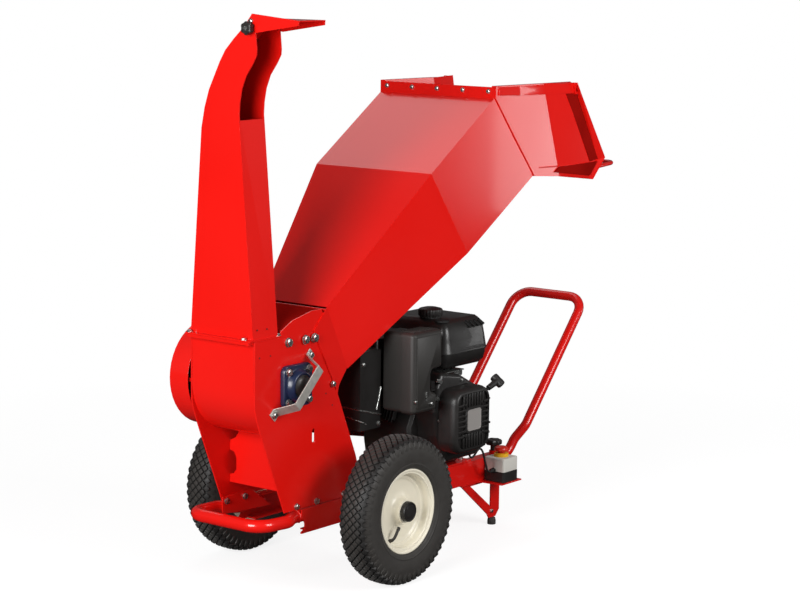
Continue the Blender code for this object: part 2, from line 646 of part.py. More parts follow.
throat_top = (-0.1080, 0.7380)
throat_bottom = (-0.0210, 0.5620)
crease_top = (0.2210, 1.0700)
crease_bottom = (0.3910, 0.8380)
strip_top = (0.5060, 1.2600)
strip_bottom = (0.7020, 1.0320)
hopper_rings = [across(throat_top, throat_bottom, THROAT_W), across(crease_top, crease_bottom, HOPPER_W),
                across(strip_top, strip_bottom, HOPPER_W)]
hopper = ring_loft("hopper", hopper_rings, RED_PAINT, HOPPER_SKIN)
collar = [(-0.1070, 0.7360), (-0.1590, 0.6820), (-0.1370, 0.6390), (-0.0650, 0.5110), (-0.0230, 0.5640),
          (-0.0200, 0.5740), (-0.0980, 0.7360)]
for sign in (-1, 1):
    low, high = sorted((sign * (PLATE_Y + GAP), sign * THROAT_W))
    join(hopper, plate("collar_%d" % (sign + 1), collar, UPRIGHT_ALONG, low, high, RED_PAINT))
join(hopper, box("strip_upstand", (0.5040, -HOPPER_W, 1.2540), (0.5070, HOPPER_W, 1.2900), RED_PAINT))

COVER_Z = 1.2560
BAND_W = 0.0090


def mouth_ring(top, knee, low, bottom, half, foot):
    """A ring of the mouth: its cover, the bands that stand up beside it, the side walls and the floor."""
    side = [(top[0] + 0.0060, half - BAND_W, COVER_Z), (top[0], half - BAND_W, top[1]), (top[0], half, top[1]),
            (knee[0], half, knee[1]), (low[0], half, low[1]), (bottom[0], foot, bottom[1])]
    return [(x, -y, z) for x, y, z in reversed(side)] + side


mouth_rings = [mouth_ring((0.5074, 1.2900), (0.5074, 1.2600), (0.6850, 1.0530), (0.7026, 1.0322),
                          HOPPER_W, HOPPER_W),
               mouth_ring((0.7400, 1.2885), (0.7500, 1.2580), (0.8200, 1.0500), (0.8300, 1.0230),
                          HOPPER_W, HOPPER_W),
               mouth_ring((0.8620, 1.2900), (0.8800, 1.2600), (1.0000, 1.0600), (0.9780, 1.0060),
                          0.2220, 0.2070),
               mouth_ring((0.8600, 1.2910), (0.8796, 1.2600), (1.0140, 1.0663), (0.9920, 1.0025),
                          0.2405, 0.2140)]
ring_loft("hopper_mouth", mouth_rings, RED_PAINT, HOPPER_SKIN)
grab_half = [(0.9935, 0.185, 1.0040), (1.0200, 0.185, 1.0290), (1.1555, 0.185, 1.0384)]
grab_corners = [(x, -y, z) for x, y, z in grab_half] + list(reversed(grab_half))
tube("grab_bar", bent_path(grab_corners, 0.030, 4), 0.006, RED_PAINT)

# Engine: crankcase, cylinder, muffler, air filter, tank, fan shroud and recoil starter

case_outline = [(0.285, ENGINE_BASE), (0.505, ENGINE_BASE), (0.505, 0.440), (0.310, 0.440), (0.269, 0.352),
                (0.269, 0.300)]
crankcase = plate("crankcase", case_outline, UPRIGHT_ALONG, -0.100, 0.068, BLACK_PAINT)
soften(crankcase, 0.008)
shaft_bore = rod("crank_bore", (CRANK_X, 0.040, CRANK_Z), (CRANK_X, 0.100, CRANK_Z), 0.0128, None, 20)
cut(crankcase, shaft_bore)
rod("crankshaft", (CRANK_X, 0.0415, CRANK_Z), (CRANK_X, BELT_Y + 0.022, CRANK_Z), 0.0125, STEEL, 20)

CYLINDER_TILT = math.radians(25)
FIN_COUNT = 7
cylinder_frame = Matrix.Translation((CRANK_X, 0.0, CRANK_Z)) @ Matrix.Rotation(CYLINDER_TILT, 4, "Y")


def place_on_cylinder(thing):
    """Put a part that was made along minus X from the crank axis on the tilted cylinder."""
    thing.matrix_world = cylinder_frame @ thing.matrix_world
    return thing


cylinder = place_on_cylinder(box("cylinder", (-0.262, -0.045, -0.050), (-0.1104, 0.060, 0.050), BLACK_PAINT))
for fin in range(FIN_COUNT):
    x = -0.146 - fin * 0.014
    fin_plate = box("fin_%d" % fin, (x, -0.060, -0.062), (x + 0.004, 0.070, 0.062), BLACK_PAINT)
    join(cylinder, place_on_cylinder(fin_plate))
muffler = box("muffler", (0.050, -0.100, 0.400), (0.132, 0.090, 0.598), BLACK_PAINT)
soften(muffler, 0.010, 2)

AIR_LOW = (0.140, -0.214, 0.422)
AIR_HIGH = (0.270, -0.104, 0.645)
air_box = box("air_filter_box", AIR_LOW, AIR_HIGH, BLACK_PLASTIC)
soften(air_box, 0.008, 2)
rod("carburettor", (0.215, AIR_HIGH[1] + GAP, 0.490), (0.215, -0.0603, 0.490), 0.019, CAST_ALUMINIUM, 16)

TANK_LOW = (0.335, -0.172, 0.510)
TANK_HIGH = (0.549, 0.075, 0.646)
TANK_SKIN = 0.003
CAP_X = 0.392
CAP_Y = -0.075
tank = box("fuel_tank", TANK_LOW, TANK_HIGH, BLACK_PAINT)
soften(tank, 0.024, 3)
tank_hollow = box("tank_hollow", [value + TANK_SKIN for value in TANK_LOW],
                  [value - TANK_SKIN for value in TANK_HIGH], None)
soften(tank_hollow, 0.022)
cut(tank, tank_hollow)
cut(tank, rod("filler_neck", (CAP_X, CAP_Y, TANK_HIGH[2] - 0.010), (CAP_X, CAP_Y, TANK_HIGH[2] + 0.010),
              0.0200, None, 24))
fuel_cap = [(0.0, 0.0290), (0.0260, 0.0285), (0.0330, 0.0240), (0.0345, 0.0060), (0.0300, 0.0003),
            (0.0, 0.0003)]
turned("fuel_cap", fuel_cap, (CAP_X, CAP_Y, TANK_HIGH[2]), (0, 0, 1), BLACK_PLASTIC, 28, closed=False)

SHROUD_LOW_Y = -0.176
shroud_outline = rounded([(0.345, 0.250), (0.500, 0.250), (0.512, 0.300), (0.512, 0.437), (0.491, 0.4515),
                          (0.403, 0.497), (0.315, 0.512), (0.292, 0.470), (0.292, 0.400), (0.308, 0.330)],
                         0.015, 3)
shroud = plate("fan_shroud", shroud_outline, UPRIGHT_ALONG, SHROUD_LOW_Y, -0.1006, BLACK_PAINT)
soften(shroud, 0.006)
recoil_outline = rounded([(0.302, 0.284), (0.470, 0.284), (0.470, 0.466), (0.302, 0.466)], 0.040, 4)
recoil = plate("recoil_cover", recoil_outline, UPRIGHT_ALONG, -0.235, SHROUD_LOW_Y - GAP, BLACK_PLASTIC)
soften(recoil, 0.010, 2)

PULL = Vector((0.950, 0.0, 0.310)).normalized()
CORD_EXIT = Vector((0.4680, -0.205, 0.4370))
eyelet = rod("recoil_eyelet", CORD_EXIT - PULL * 0.010, CORD_EXIT + PULL * 0.016, 0.009, BLACK_PLASTIC, 12)
join(recoil, eyelet)
cord_start = CORD_EXIT + PULL * (0.016 + GAP)
cord_end = cord_start + PULL * 0.010
rod("recoil_cord", cord_start, cord_end, 0.0025, BLACK_PLASTIC, 10)
grip_base = cord_end + PULL * GAP
grip = rod("recoil_grip", grip_base, grip_base + PULL * 0.044, 0.0080, BLACK_PLASTIC, 14, end_radius=0.010)
grip_across = (Vector((0, 1, 0)).cross(PULL) + Vector((0, -1, 0))).normalized() * 0.019
head = grip_base + PULL * 0.048
join(grip, rod("grip_head", head - grip_across, head + grip_across, 0.0125, BLACK_PLASTIC, 14))


def make_lever(name, foot, lean):
    """A small lever of sheet steel with a plastic tip, pivoted on its inner end."""
    tip = (foot[0] + 0.026 * math.sin(math.radians(lean)), foot[1] + 0.026 * math.cos(math.radians(lean)))
    side = Vector((math.cos(math.radians(lean)), -math.sin(math.radians(lean)))) * 0.005
    outline = [(foot[0] - side.x, foot[1] - side.y), (foot[0] + side.x, foot[1] + side.y),
               (tip[0] + side.x, tip[1] + side.y), (tip[0] - side.x, tip[1] - side.y)]
    return plate(name, rounded(outline, 0.0045), UPRIGHT_ALONG, SHROUD_LOW_Y - 0.0050, SHROUD_LOW_Y - GAP,
                 STEEL)


make_lever("throttle_lever", (0.312, 0.485), -70)
make_lever("choke_lever", (0.300, 0.440), -80)

# Push handle: a bent tube that slides in the rails and is clamped by a star knob

handle_half = [(0.470, HANDLE_Y, HANDLE_LOW_Z), (0.7445, HANDLE_Y, HANDLE_LOW_Z), (0.772, 0.104, 0.240),
               (0.800, 0.124, 0.279), (1.100, 0.124, 0.624)]
handle_corners = [(x, -y, z) for x, y, z in handle_half] + list(reversed(handle_half))
tube("push_handle", bent_path(handle_corners, 0.055), TUBE_R, RED_PAINT)

KNOB_Z = BOSS_TOP + GAP
KNOB_TIP = HANDLE_LOW_Z + TUBE_R + GAP - KNOB_Z
star_knob = [(0.0, 0.0330), (0.0200, 0.0325), (0.0240, 0.0290), (0.0240, 0.0190), (0.0200, 0.0160),
             (0.0090, 0.0150), (0.0090, 0.0000), (0.0050, 0.0000), (0.0050, KNOB_TIP), (0.0, KNOB_TIP)]
turned("handle_knob", star_knob, (KNOB_X, -HANDLE_Y, KNOB_Z), (0, 0, 1), BLACK_PLASTIC, 20, closed=False)

# Rear bracket with the stop switch, and the two strip stands with rubber feet

BRACKET_TOP = RAIL_BOTTOM - GAP
BRACKET_LOW = BRACKET_TOP - SHEET
bracket = [(0.500, -RAIL_Y), (0.585, -RAIL_Y), (0.592, -0.190), (0.690, -0.190), (0.695, -RAIL_Y),
           (RAIL_REAR - 0.003, -RAIL_Y), (RAIL_REAR - 0.003, RAIL_Y), (0.500, RAIL_Y)]
plate("rear_bracket", bracket, FLAT, BRACKET_LOW, BRACKET_TOP, RED_PAINT)

BOX_LOW = (0.605, -0.186, BRACKET_TOP + GAP)
BOX_HIGH = (0.675, -0.116, 0.2170)
switch_box = box("switch_box", BOX_LOW, BOX_HIGH, GREY_PLASTIC)
soften(switch_box, 0.004, 1)
BUTTON_X = (BOX_LOW[0] + BOX_HIGH[0]) / 2
BUTTON_Y = (BOX_LOW[1] + BOX_HIGH[1]) / 2
collar_ring = rod("switch_collar", (BUTTON_X, BUTTON_Y, BOX_HIGH[2] - 0.002),
                  (BUTTON_X, BUTTON_Y, BOX_HIGH[2] + 0.010), 0.0210, GREY_PLASTIC, 24)
join(switch_box, collar_ring)
well = rod("button_well", (BUTTON_X, BUTTON_Y, BOX_HIGH[2] - 0.012), (BUTTON_X, BUTTON_Y, BOX_HIGH[2] + 0.020),
           0.0103, None, 20)
cut(switch_box, well)
gland_z = 0.180
gland_y = -0.150
join(switch_box, rod("cable_gland", (BOX_LOW[0] - 0.012, gland_y, gland_z),
                     (BOX_LOW[0] + 0.004, gland_y, gland_z), 0.0070, BLACK_PLASTIC, 12))
button = [(0.0, 0.0300), (0.0140, 0.0285), (0.0195, 0.0235), (0.0200, 0.0170), (0.0100, 0.0160),
          (0.0100, -0.0020), (0.0, -0.0020)]
turned("stop_button", button, (BUTTON_X, BUTTON_Y, BOX_HIGH[2]), (0, 0, 1), RED_PLASTIC, 24, closed=False)

CABLE_R = 0.003
cable_route = [(0.4870, -0.150, 0.2488), (0.4870, -0.150, 0.2430), (0.4960, -0.150, 0.2370),
               (0.5090, -0.150, 0.2410), (0.5200, -0.150, 0.2500), (0.5310, -0.150, 0.2560),
               (0.5420, -0.150, 0.2530), (0.5510, -0.150, 0.2420), (0.5570, -0.150, 0.2280),
               (0.5620, -0.150, 0.2130), (0.5680, -0.150, 0.1990), (0.5750, -0.150, 0.1850),
               (0.5840, -0.150, 0.1800), (0.5926, -0.150, 0.1800)]


def smooth(points, per_span=2):
    """A Catmull-Rom curve through the route's points."""
    points = [Vector(point) for point in points]
    ends = [points[0] * 2 - points[1]] + points + [points[-1] * 2 - points[-2]]
    path = []
    for before, first, second, after in zip(ends, ends[1:], ends[2:], ends[3:]):
        for step in range(per_span):
            t = step / per_span
            path.append(0.5 * (2 * first + (second - before) * t
                               + (2 * before - 5 * first + 4 * second - after) * t * t
                               + (3 * first - before - 3 * second + after) * t ** 3))
    path.append(points[-1])
    return path


tube("stop_cable", smooth(cable_route), CABLE_R, BLACK_PLASTIC)

FOOT_X = 0.672
FOOT_TOP = 0.0200
STAND_Y = 0.098


def make_stand(side, sign):
    high = BRACKET_LOW - GAP
    legs = [(FOOT_X - 0.016, FOOT_TOP + GAP), (FOOT_X + 0.016, FOOT_TOP + GAP), (0.706, 0.0400), (0.706, high),
            (0.512, high), (FOOT_X - 0.024, 0.0330)]
    gap_in_v = [(0.663, 0.0550), (0.663, high - 0.0100), (0.562, high - 0.0100)]
    low, top = sorted((sign * (STAND_Y - 0.0025), sign * (STAND_Y + 0.0025)))
    plate("stand_" + side, legs, UPRIGHT_ALONG, low, top, RED_PAINT, holes=(gap_in_v,))
    foot = [(0.0, FOOT_TOP), (0.0105, FOOT_TOP), (0.0125, 0.0120), (0.0125, 0.0), (0.0, 0.0)]
    turned("foot_" + side, foot, (FOOT_X, sign * STAND_Y, 0.0), (0, 0, 1), RUBBER, 20, closed=False)


make_stand("near", -1)
make_stand("far", 1)

# All of it was drawn from the axle, and now moves so that the origin is on the floor under its middle

for thing in list(parts.objects) + list(cutters.objects):
    thing.matrix_world = Matrix.Translation((-MIDDLE_X, 0, 0)) @ thing.matrix_world
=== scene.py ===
# Petrol wood chipper on two wheels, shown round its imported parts.
# Sizes along X are measured from the axle, and AXLE_X moves them into the frame.
# The side with the recoil starter and the stop switch is the near side, at minus Y.

import json
import math

import bmesh
import bpy
import numpy as np
from mathutils import Matrix, Vector

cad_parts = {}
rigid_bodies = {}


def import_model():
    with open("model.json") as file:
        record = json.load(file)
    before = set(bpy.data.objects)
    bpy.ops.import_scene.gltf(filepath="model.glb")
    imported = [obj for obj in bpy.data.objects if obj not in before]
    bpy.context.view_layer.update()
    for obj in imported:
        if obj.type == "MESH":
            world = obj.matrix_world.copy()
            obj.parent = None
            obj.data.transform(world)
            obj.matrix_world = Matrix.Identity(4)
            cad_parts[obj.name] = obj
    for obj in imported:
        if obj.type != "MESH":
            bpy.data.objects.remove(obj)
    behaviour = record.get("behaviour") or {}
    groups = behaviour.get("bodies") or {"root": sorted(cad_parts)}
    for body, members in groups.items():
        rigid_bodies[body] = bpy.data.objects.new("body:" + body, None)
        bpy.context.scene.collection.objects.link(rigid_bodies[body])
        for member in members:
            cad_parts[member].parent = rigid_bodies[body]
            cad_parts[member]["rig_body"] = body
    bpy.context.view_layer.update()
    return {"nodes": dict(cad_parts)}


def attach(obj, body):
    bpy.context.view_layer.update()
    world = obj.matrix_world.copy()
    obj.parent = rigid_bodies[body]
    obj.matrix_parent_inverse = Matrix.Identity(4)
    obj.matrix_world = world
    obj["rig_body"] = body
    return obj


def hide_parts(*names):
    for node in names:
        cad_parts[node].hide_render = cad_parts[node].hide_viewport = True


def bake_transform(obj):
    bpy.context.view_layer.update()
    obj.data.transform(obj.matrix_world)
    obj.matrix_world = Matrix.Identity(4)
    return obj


for old in list(bpy.data.objects):
    bpy.data.objects.remove(old, do_unlink=True)

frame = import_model()
AXLE_X = -0.3741

# Chassis
# Two channel rails folded from 4 mm sheet, an engine plate across them and a round axle.
# The steel is welded, then powder coated in one glossy red that gathers softly at the edges.


def linear(colour):
    """An sRGB hex colour as linear RGBA."""
    parts = np.array([int(colour[start:start + 2], 16) for start in (1, 3, 5)]) / 255
    return (*np.where(parts <= 0.04045, parts / 12.92, ((parts + 0.055) / 1.055) ** 2.4), 1.0)


def add(tree, kind, inputs=None, **settings):
    """Adds a shader node: settings are its properties, inputs its sockets' values or the outputs to link."""
    made = tree.nodes.new("ShaderNode" + kind)
    for key, value in settings.items():
        setattr(made, key, value)
    for key, value in (inputs or {}).items():
        if isinstance(value, bpy.types.NodeSocket):
            tree.links.new(value, made.inputs[key])
        else:
            made.inputs[key].default_value = value
    return made


def material(name, colour, **values):
    """A Principled material with values on its shader's own sockets."""
    made = bpy.data.materials.new(name)
    made.use_nodes = True
    shader = made.node_tree.nodes["Principled BSDF"]
    shader.inputs["Base Color"].default_value = linear(colour)
    for key, value in values.items():
        shader.inputs[key.replace("_", " ")].default_value = value
    return made


def uneven(look, size, depth, detail=2.0, stretch=(1.0, 1.0, 1.0)):
    """Gives a material bumps of a size and a depth in metres, by noise in the piece's own coordinates."""
    tree = look.node_tree
    place = add(tree, "TexCoord").outputs["Object"]
    scaled = add(tree, "VectorMath", {0: place, 1: stretch}, operation="MULTIPLY").outputs[0]
    noise = add(tree, "TexNoise", {"Vector": scaled, "Scale": 1 / size, "Detail": detail})
    bump = add(tree, "Bump", {"Height": noise.outputs[0], "Distance": depth})
    tree.links.new(bump.outputs["Normal"], tree.nodes["Principled BSDF"].inputs["Normal"])


def drift(look, socket, low, high, size):
    """Lets a socket drift between two values, or two hex colours, over patches of a size in metres."""
    tree = look.node_tree
    place = add(tree, "TexCoord").outputs["Object"]
    noise = add(tree, "TexNoise", {"Vector": place, "Scale": 1 / size, "Detail": 0.5}).outputs[0]
    share = add(tree, "MapRange", {"Value": noise, "From Min": 0.2, "From Max": 0.8},
                interpolation_type="SMOOTHSTEP").outputs[0]
    if isinstance(low, str):
        mix = add(tree, "Mix", {0: share, 6: linear(low), 7: linear(high)}, data_type="RGBA").outputs[2]
    else:
        mix = add(tree, "Mix", {0: share, 2: low, 3: high}).outputs[0]
    tree.links.new(mix, tree.nodes["Principled BSDF"].inputs[socket])


# Powder coat: even, glossy and very slightly rippled, as baked powder is when seen close
red_coat = material("red_powder_coat", "#E2150E", IOR=1.5, Coat_Weight=0.3, Coat_Roughness=0.06)
drift(red_coat, "Base Color", "#E4160F", "#DE130C", 0.3)
drift(red_coat, "Roughness", 0.2, 0.24, 0.2)
uneven(red_coat, 0.008, 0.000006)

# Zinc plate on bolts and washers: a cool silver with faint cloudy patches
zinc = material("bright_zinc_plate", "#D2D3D0", Metallic=1.0)
drift(zinc, "Roughness", 0.22, 0.38, 0.004)
uneven(zinc, 0.0012, 0.00002)

# Ground bar steel: bright, with fine turning marks round its length
bar_steel = material("turned_bar_steel", "#B9B8B4", Metallic=1.0, Roughness=0.3)
uneven(bar_steel, 0.0008, 0.00001, stretch=(1.0, 0.1, 1.0))


def make(name, shape, look, body, edge=0.0, sharp=38, joined_on=None):
    """Makes a piece from (points, faces): closes its seams, turns its faces outwards and rides a body.

    An edge width adds small rounded edges, and joined_on names the CAD nodes that it stands for."""
    points, faces = shape
    mesh = bpy.data.meshes.new(name)
    mesh.from_pydata((np.asarray(points) + (AXLE_X, 0, 0)).tolist(), [], [list(face) for face in faces])
    work = bmesh.new()
    work.from_mesh(mesh)
    bmesh.ops.remove_doubles(work, verts=work.verts, dist=0.000002)
    bmesh.ops.holes_fill(work, edges=[edge for edge in work.edges if edge.is_boundary], sides=0)
    bmesh.ops.recalc_face_normals(work, faces=work.faces)
    work.to_mesh(mesh)
    work.free()
    mesh.materials.append(look)
    mesh.shade_smooth()
    piece = bpy.data.objects.new(name, mesh)
    bpy.context.scene.collection.objects.link(piece)
    if edge:
        rim = piece.modifiers.new("edges", "BEVEL")
        rim.width = edge
        rim.segments = 2
        rim.limit_method = "ANGLE"
        rim.angle_limit = math.radians(sharp)
        rim.harden_normals = True
    else:
        mesh.set_sharp_from_angle(angle=math.radians(sharp))
    if body:
        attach(piece, body)
    if joined_on:
        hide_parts(*joined_on)
    return piece


def skin(node, look, edge=0.001, sharp=38):
    """A CAD part's own shape with its loose triangles joined, its flats merged and its edges rounded."""
    source = frame["nodes"][node]
    work = bmesh.new()
    work.from_mesh(source.data)
    bmesh.ops.remove_doubles(work, verts=work.verts, dist=0.00001)
    bmesh.ops.dissolve_limit(work, angle_limit=math.radians(0.5), verts=work.verts, edges=work.edges)
    points = np.array([vertex.co for vertex in work.verts]) - (AXLE_X, 0, 0)
    faces = [[vertex.index for vertex in face.verts] for face in work.faces]
    work.free()
    return make(node + "_skin", (points, faces), look, source["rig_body"], edge, sharp, [node])


for sheet in ("chassis_rail_near", "chassis_rail_far", "engine_plate", "rear_bracket", "stand_near",
              "stand_far"):
    skin(sheet, red_coat)
skin("axle", bar_steel, 0.0006)


def grid(rows, columns):
    """Quads between the points of a grid, counted row by row, with each row closed on itself."""
    row = np.arange(rows - 1)[:, None] * columns
    column = np.arange(columns)[None, :]
    after = (column + 1) % columns
    corners = [row + column, row + after, row + columns + after, row + columns + column]
    return np.stack(np.broadcast_arrays(*corners), -1).reshape(-1, 4)


def lofted(rows, closed=True):
    """A skin through rows of points, (rows, points, 3), drawn together to a middle point at both ends."""
    rows = np.asarray(rows, float)
    if closed:
        first = np.repeat(rows[:1].mean(1, keepdims=True), rows.shape[1], 1)
        last = np.repeat(rows[-1:].mean(1, keepdims=True), rows.shape[1], 1)
        rows = np.concatenate([first, rows, last])
    return rows.reshape(-1, 3), grid(rows.shape[0], rows.shape[1])


def joined(*shapes):
    """Several shapes as one."""
    starts = np.cumsum([0] + [len(points) for points, _ in shapes])
    points = np.concatenate([points for points, _ in shapes])
    return points, np.concatenate([faces + start for (_, faces), start in zip(shapes, starts)])


def turned(profile, sides=48, lobes=0, depth=0.0):
    """A profile of (radius, height) turned round Z; lobes scallop the radius by a share of depth."""
    turn = np.linspace(0, 2 * np.pi, sides, endpoint=False)
    radius, height = np.array(profile, float).T
    swell = 1 - depth * (0.5 + 0.5 * np.cos(lobes * turn))
    points = np.stack([radius[:, None] * swell * np.cos(turn), radius[:, None] * swell * np.sin(turn),
                       np.repeat(height[:, None], sides, 1)], -1)
    return points.reshape(-1, 3), grid(len(radius), sides)


def aim(origin, axis=(0, 0, 1), turn=0.0):
    """The 4x4 matrix that puts local Z along an axis and the local origin at a point."""
    along = Vector(axis).to_track_quat("Z", "Y").to_matrix().to_4x4()
    return np.array(Matrix.Translation(origin) @ along @ Matrix.Rotation(turn, 4, "Z"))


def placed(shape, *places):
    """A shape set down once at each placing matrix, all in one shape."""
    points, faces = shape
    places = np.array(places)
    spread = np.einsum("nij,mj->nmi", places[:, :3, :3], points) + places[:, None, :3, 3]
    counts = np.arange(len(places))[:, None, None] * len(points)
    return spread.reshape(-1, 3), (faces[None] + counts).reshape(-1, 4)


def bolt(size):
    """A hexagon bolt head on a plain washer: size is the thread, and the head stands up along Z."""
    washer = turned([(0, size * 0.2), (size * 1.05, size * 0.2), (size * 1.1, size * 0.15),
                     (size * 1.1, -0.0003)], 24)
    reach = size * 0.96
    head_profile = [(0, size * 0.82), (reach * 0.8, size * 0.82), (reach, size * 0.72), (reach, size * 0.1)]
    head = turned(head_profile, 6)
    return joined(washer, head)


def bolts(name, size, axis, places, body="frame"):
    """A group of zinc-plated bolts, each turned a little differently, as tightened bolts are."""
    frames = [aim(place, axis, 0.7 * number) for number, place in enumerate(places)]
    return make(name, placed(bolt(size), *frames), zinc, body, sharp=30)


PLATE_Y = 0.1106
for side, sign in (("near", -1), ("far", 1)):
    foot_bolts = [(x, sign * PLATE_Y, 0.2232) for x in (-0.2228, -0.142, -0.03)]
    bolts("foot_bolts_" + side, 0.008, (0, sign, 0), foot_bolts)
    heads = [(x, sign * 0.096, 0.212) for x in (0.225, 0.555)]
    bolts("rail_top_bolts_" + side, 0.006, (0, 0, 1), heads)
bolts("engine_bolts", 0.008, (0, 0, 1), [(x, y, 0.2185) for x in (0.255, 0.53) for y in (-0.085, 0.085)])
bolts("bracket_bolts", 0.006, (0, 0, -1), [(x, y, 0.1425) for x in (0.53, 0.69) for y in (-0.075, 0.075)])
bolts("stand_bolts", 0.006, (0, -1, 0), [(0.6661, -0.1007, 0.04)])

# Tow bar and push handle
# Round steel tube, bent cold to one radius at each corner and powder coated red.
# The tow bar's ends are welded inside the rails, and the handle's ends slide in them under a clamp.


def bent(corners, radius, steps=8, loop=False):
    """A chain of corners, in two or three dimensions, each replaced by an arc that meets both its sides."""
    corners = np.array(corners, float)
    count = len(corners)
    path = []
    for number, here in enumerate(corners):
        if not loop and number in (0, count - 1):
            path.append(here)
            continue
        back = corners[number - 1] - here
        on = corners[(number + 1) % count] - here
        back, on = back / np.linalg.norm(back), on / np.linalg.norm(on)
        half = math.acos(np.clip(back @ on, -1, 1)) / 2
        centre = here + (back + on) / np.linalg.norm(back + on) * radius / math.sin(half)
        first = here + back * radius / math.tan(half) - centre
        last = here + on * radius / math.tan(half) - centre
        sweep = math.pi - 2 * half
        share = np.linspace(0, 1, steps + 1)[:, None]
        arc = first * np.sin((1 - share) * sweep) + last * np.sin(share * sweep)
        path.extend(centre + arc / math.sin(sweep))
    return np.array(path)


def curved(points, steps=6):
    """A Catmull-Rom curve through points, (n, 2) or (n, 3): each span is a cubic from end to end."""
    points = np.array(points, float)
    ends = np.concatenate([[2 * points[0] - points[1]], points, [2 * points[-1] - points[-2]]])
    before, first, second, after = (ends[k:k + len(points) - 1][:, None] for k in range(4))
    t = np.arange(steps)[None, :, None] / steps
    path = 0.5 * (2 * first + (second - before) * t + (2 * before - 5 * first + 4 * second - after) * t ** 2
                  + (3 * first - before - 3 * second + after) * t ** 3)
    return np.concatenate([path.reshape(-1, points.shape[1]), points[-1:]])


def swept(path, radius, sides=24):
    """A round tube along a path. Its cross-section is carried from point to point with the least turn."""
    path = np.array(path, float)
    along = np.gradient(path, axis=0)
    along /= np.linalg.norm(along, axis=1, keepdims=True)
    side = np.cross(along[0], (0.0, 0.0, 1.0) if abs(along[0][2]) < 0.9 else (1.0, 0.0, 0.0))
    sides_of = []
    for direction in along:
        side = side - (side @ direction) * direction
        side /= np.linalg.norm(side)
        sides_of.append(side)
    first = np.array(sides_of)[:, None]
    second = np.cross(along, np.array(sides_of))[:, None]
    turn = np.linspace(0, 2 * np.pi, sides, endpoint=False)[None, :, None]
    wide = np.broadcast_to(radius, len(path))[:, None, None]
    return lofted(path[:, None] + wide * (first * np.cos(turn) + second * np.sin(turn)))


def mirrored(half):
    """Corners on the far side, then the same corners mirrored to the near side."""
    half = np.array(half, float)
    return np.concatenate([half * (1, -1, 1), half[::-1]])


TOW_R = 0.017
tow_corners = mirrored([(-0.13, 0.0932, 0.1903), (-0.22, 0.0932, 0.1903), (-0.272, 0.1245, 0.1945),
                        (-0.38, 0.119, 0.1985)])
make("tow_bar_tube", swept(bent(tow_corners, 0.046), TOW_R, 32), red_coat, "frame",
     joined_on=["tow_bar"])
handle_corners = mirrored([(0.47, 0.0962, 0.1937), (0.7445, 0.0962, 0.1937), (0.772, 0.104, 0.24),
                           (0.8, 0.124, 0.279), (1.1, 0.124, 0.624)])
make("push_handle_tube", swept(bent(handle_corners, 0.055), 0.014, 32), red_coat, "handle",
     joined_on=["push_handle"])


def bead(name, path, radius=0.0032):
    """A weld bead along a path: a small tube whose radius swells every few millimetres, drop by drop."""
    path = np.array(path, float)
    legs = np.linalg.norm(np.diff(path, axis=0), axis=1)
    length = np.concatenate([[0], np.cumsum(legs)])
    places = np.arange(0, length[-1], 0.0012)
    fine = np.stack([np.interp(places, length, path[:, axis]) for axis in range(3)], -1)
    swell = radius * (0.88 + 0.12 * np.cos(places * 2 * np.pi / 0.0036))
    return make(name, swept(fine, swell, 8), red_coat, "frame", sharp=80)


# A bolted gusset covers the tow bar's far end inside its rail
GUSSET_Y = 0.0735
gusset = np.array([(x, GUSSET_Y, z) for x, z in ((-0.306, 0.188), (-0.112, 0.178), (-0.193, 0.237),
                                                 (-0.306, 0.234))])
make("tow_bar_gusset", lofted([gusset, gusset + (0, 0.0026, 0)]), red_coat, "frame", edge=0.0006)
bolts("gusset_bolts", 0.008, (0, -1, 0), [(-0.2193, GUSSET_Y, 0.2216), (-0.2902, GUSSET_Y, 0.2213)])
for side, sign in (("near", -1), ("far", 1)):
    turn = np.linspace(-2.4, 0.6, 14)
    ring = np.stack([np.full(14, -0.2058) + 0.002 * np.cos(turn), sign * (0.0935 - 0.0175 * np.sin(turn)),
                     0.1903 + 0.0175 * np.cos(turn)], -1)
    bead("tow_weld_" + side, ring)
    bead("rail_weld_" + side, [(0.24, sign * 0.115, 0.2123), (0.3, sign * 0.115, 0.2123)], 0.0025)

# Star knob
# A moulded black plastic knob with seven lobes on a steel screw, which clamps the push handle.
# Its screw passes a short boss on the near rail.

# Moulded black plastic: satin, with a fine spark-eroded grain
black_plastic = material("moulded_black_plastic", "#232120", Roughness=0.42)
drift(black_plastic, "Roughness", 0.36, 0.48, 0.02)
uneven(black_plastic, 0.0007, 0.00003)

KNOB_X = 0.678
KNOB_Y = -0.0962
KNOB_Z = 0.2203
knob_head = turned([(0, 0.033), (0.012, 0.033), (0.0215, 0.032), (0.0244, 0.029), (0.0248, 0.024),
                    (0.0244, 0.019), (0.0205, 0.0163), (0.011, 0.015), (0, 0.015)], 84, 7, 0.13)
knob_neck = turned([(0.0092, 0.0155), (0.0092, 0.0015), (0.0096, 0.0), (0.0, 0.0)], 32)
knob_cap = turned([(0, 0.0343), (0.007, 0.0343), (0.0078, 0.0335), (0.0078, 0.0325)], 32)
knob_screw = turned([(0.005, 0.002), (0.005, -0.012), (0, -0.012)], 20)
knob_place = aim((KNOB_X, KNOB_Y, KNOB_Z))
make("handle_knob_head", placed(joined(knob_head, knob_neck, knob_cap), knob_place), black_plastic,
     "handle_clamp",
     joined_on=["handle_knob"])
make("handle_knob_screw", placed(knob_screw, knob_place), zinc, "handle_clamp")

# Wheels
# Pneumatic block-tread tyres on pressed rims in cream paint, each with a rubber valve and a black hub cap.
# Lugs stand in staggered rows over the crown, and ribs run from them down the shoulder.

WHEEL_Y = 0.271
AXLE_Z = 0.2

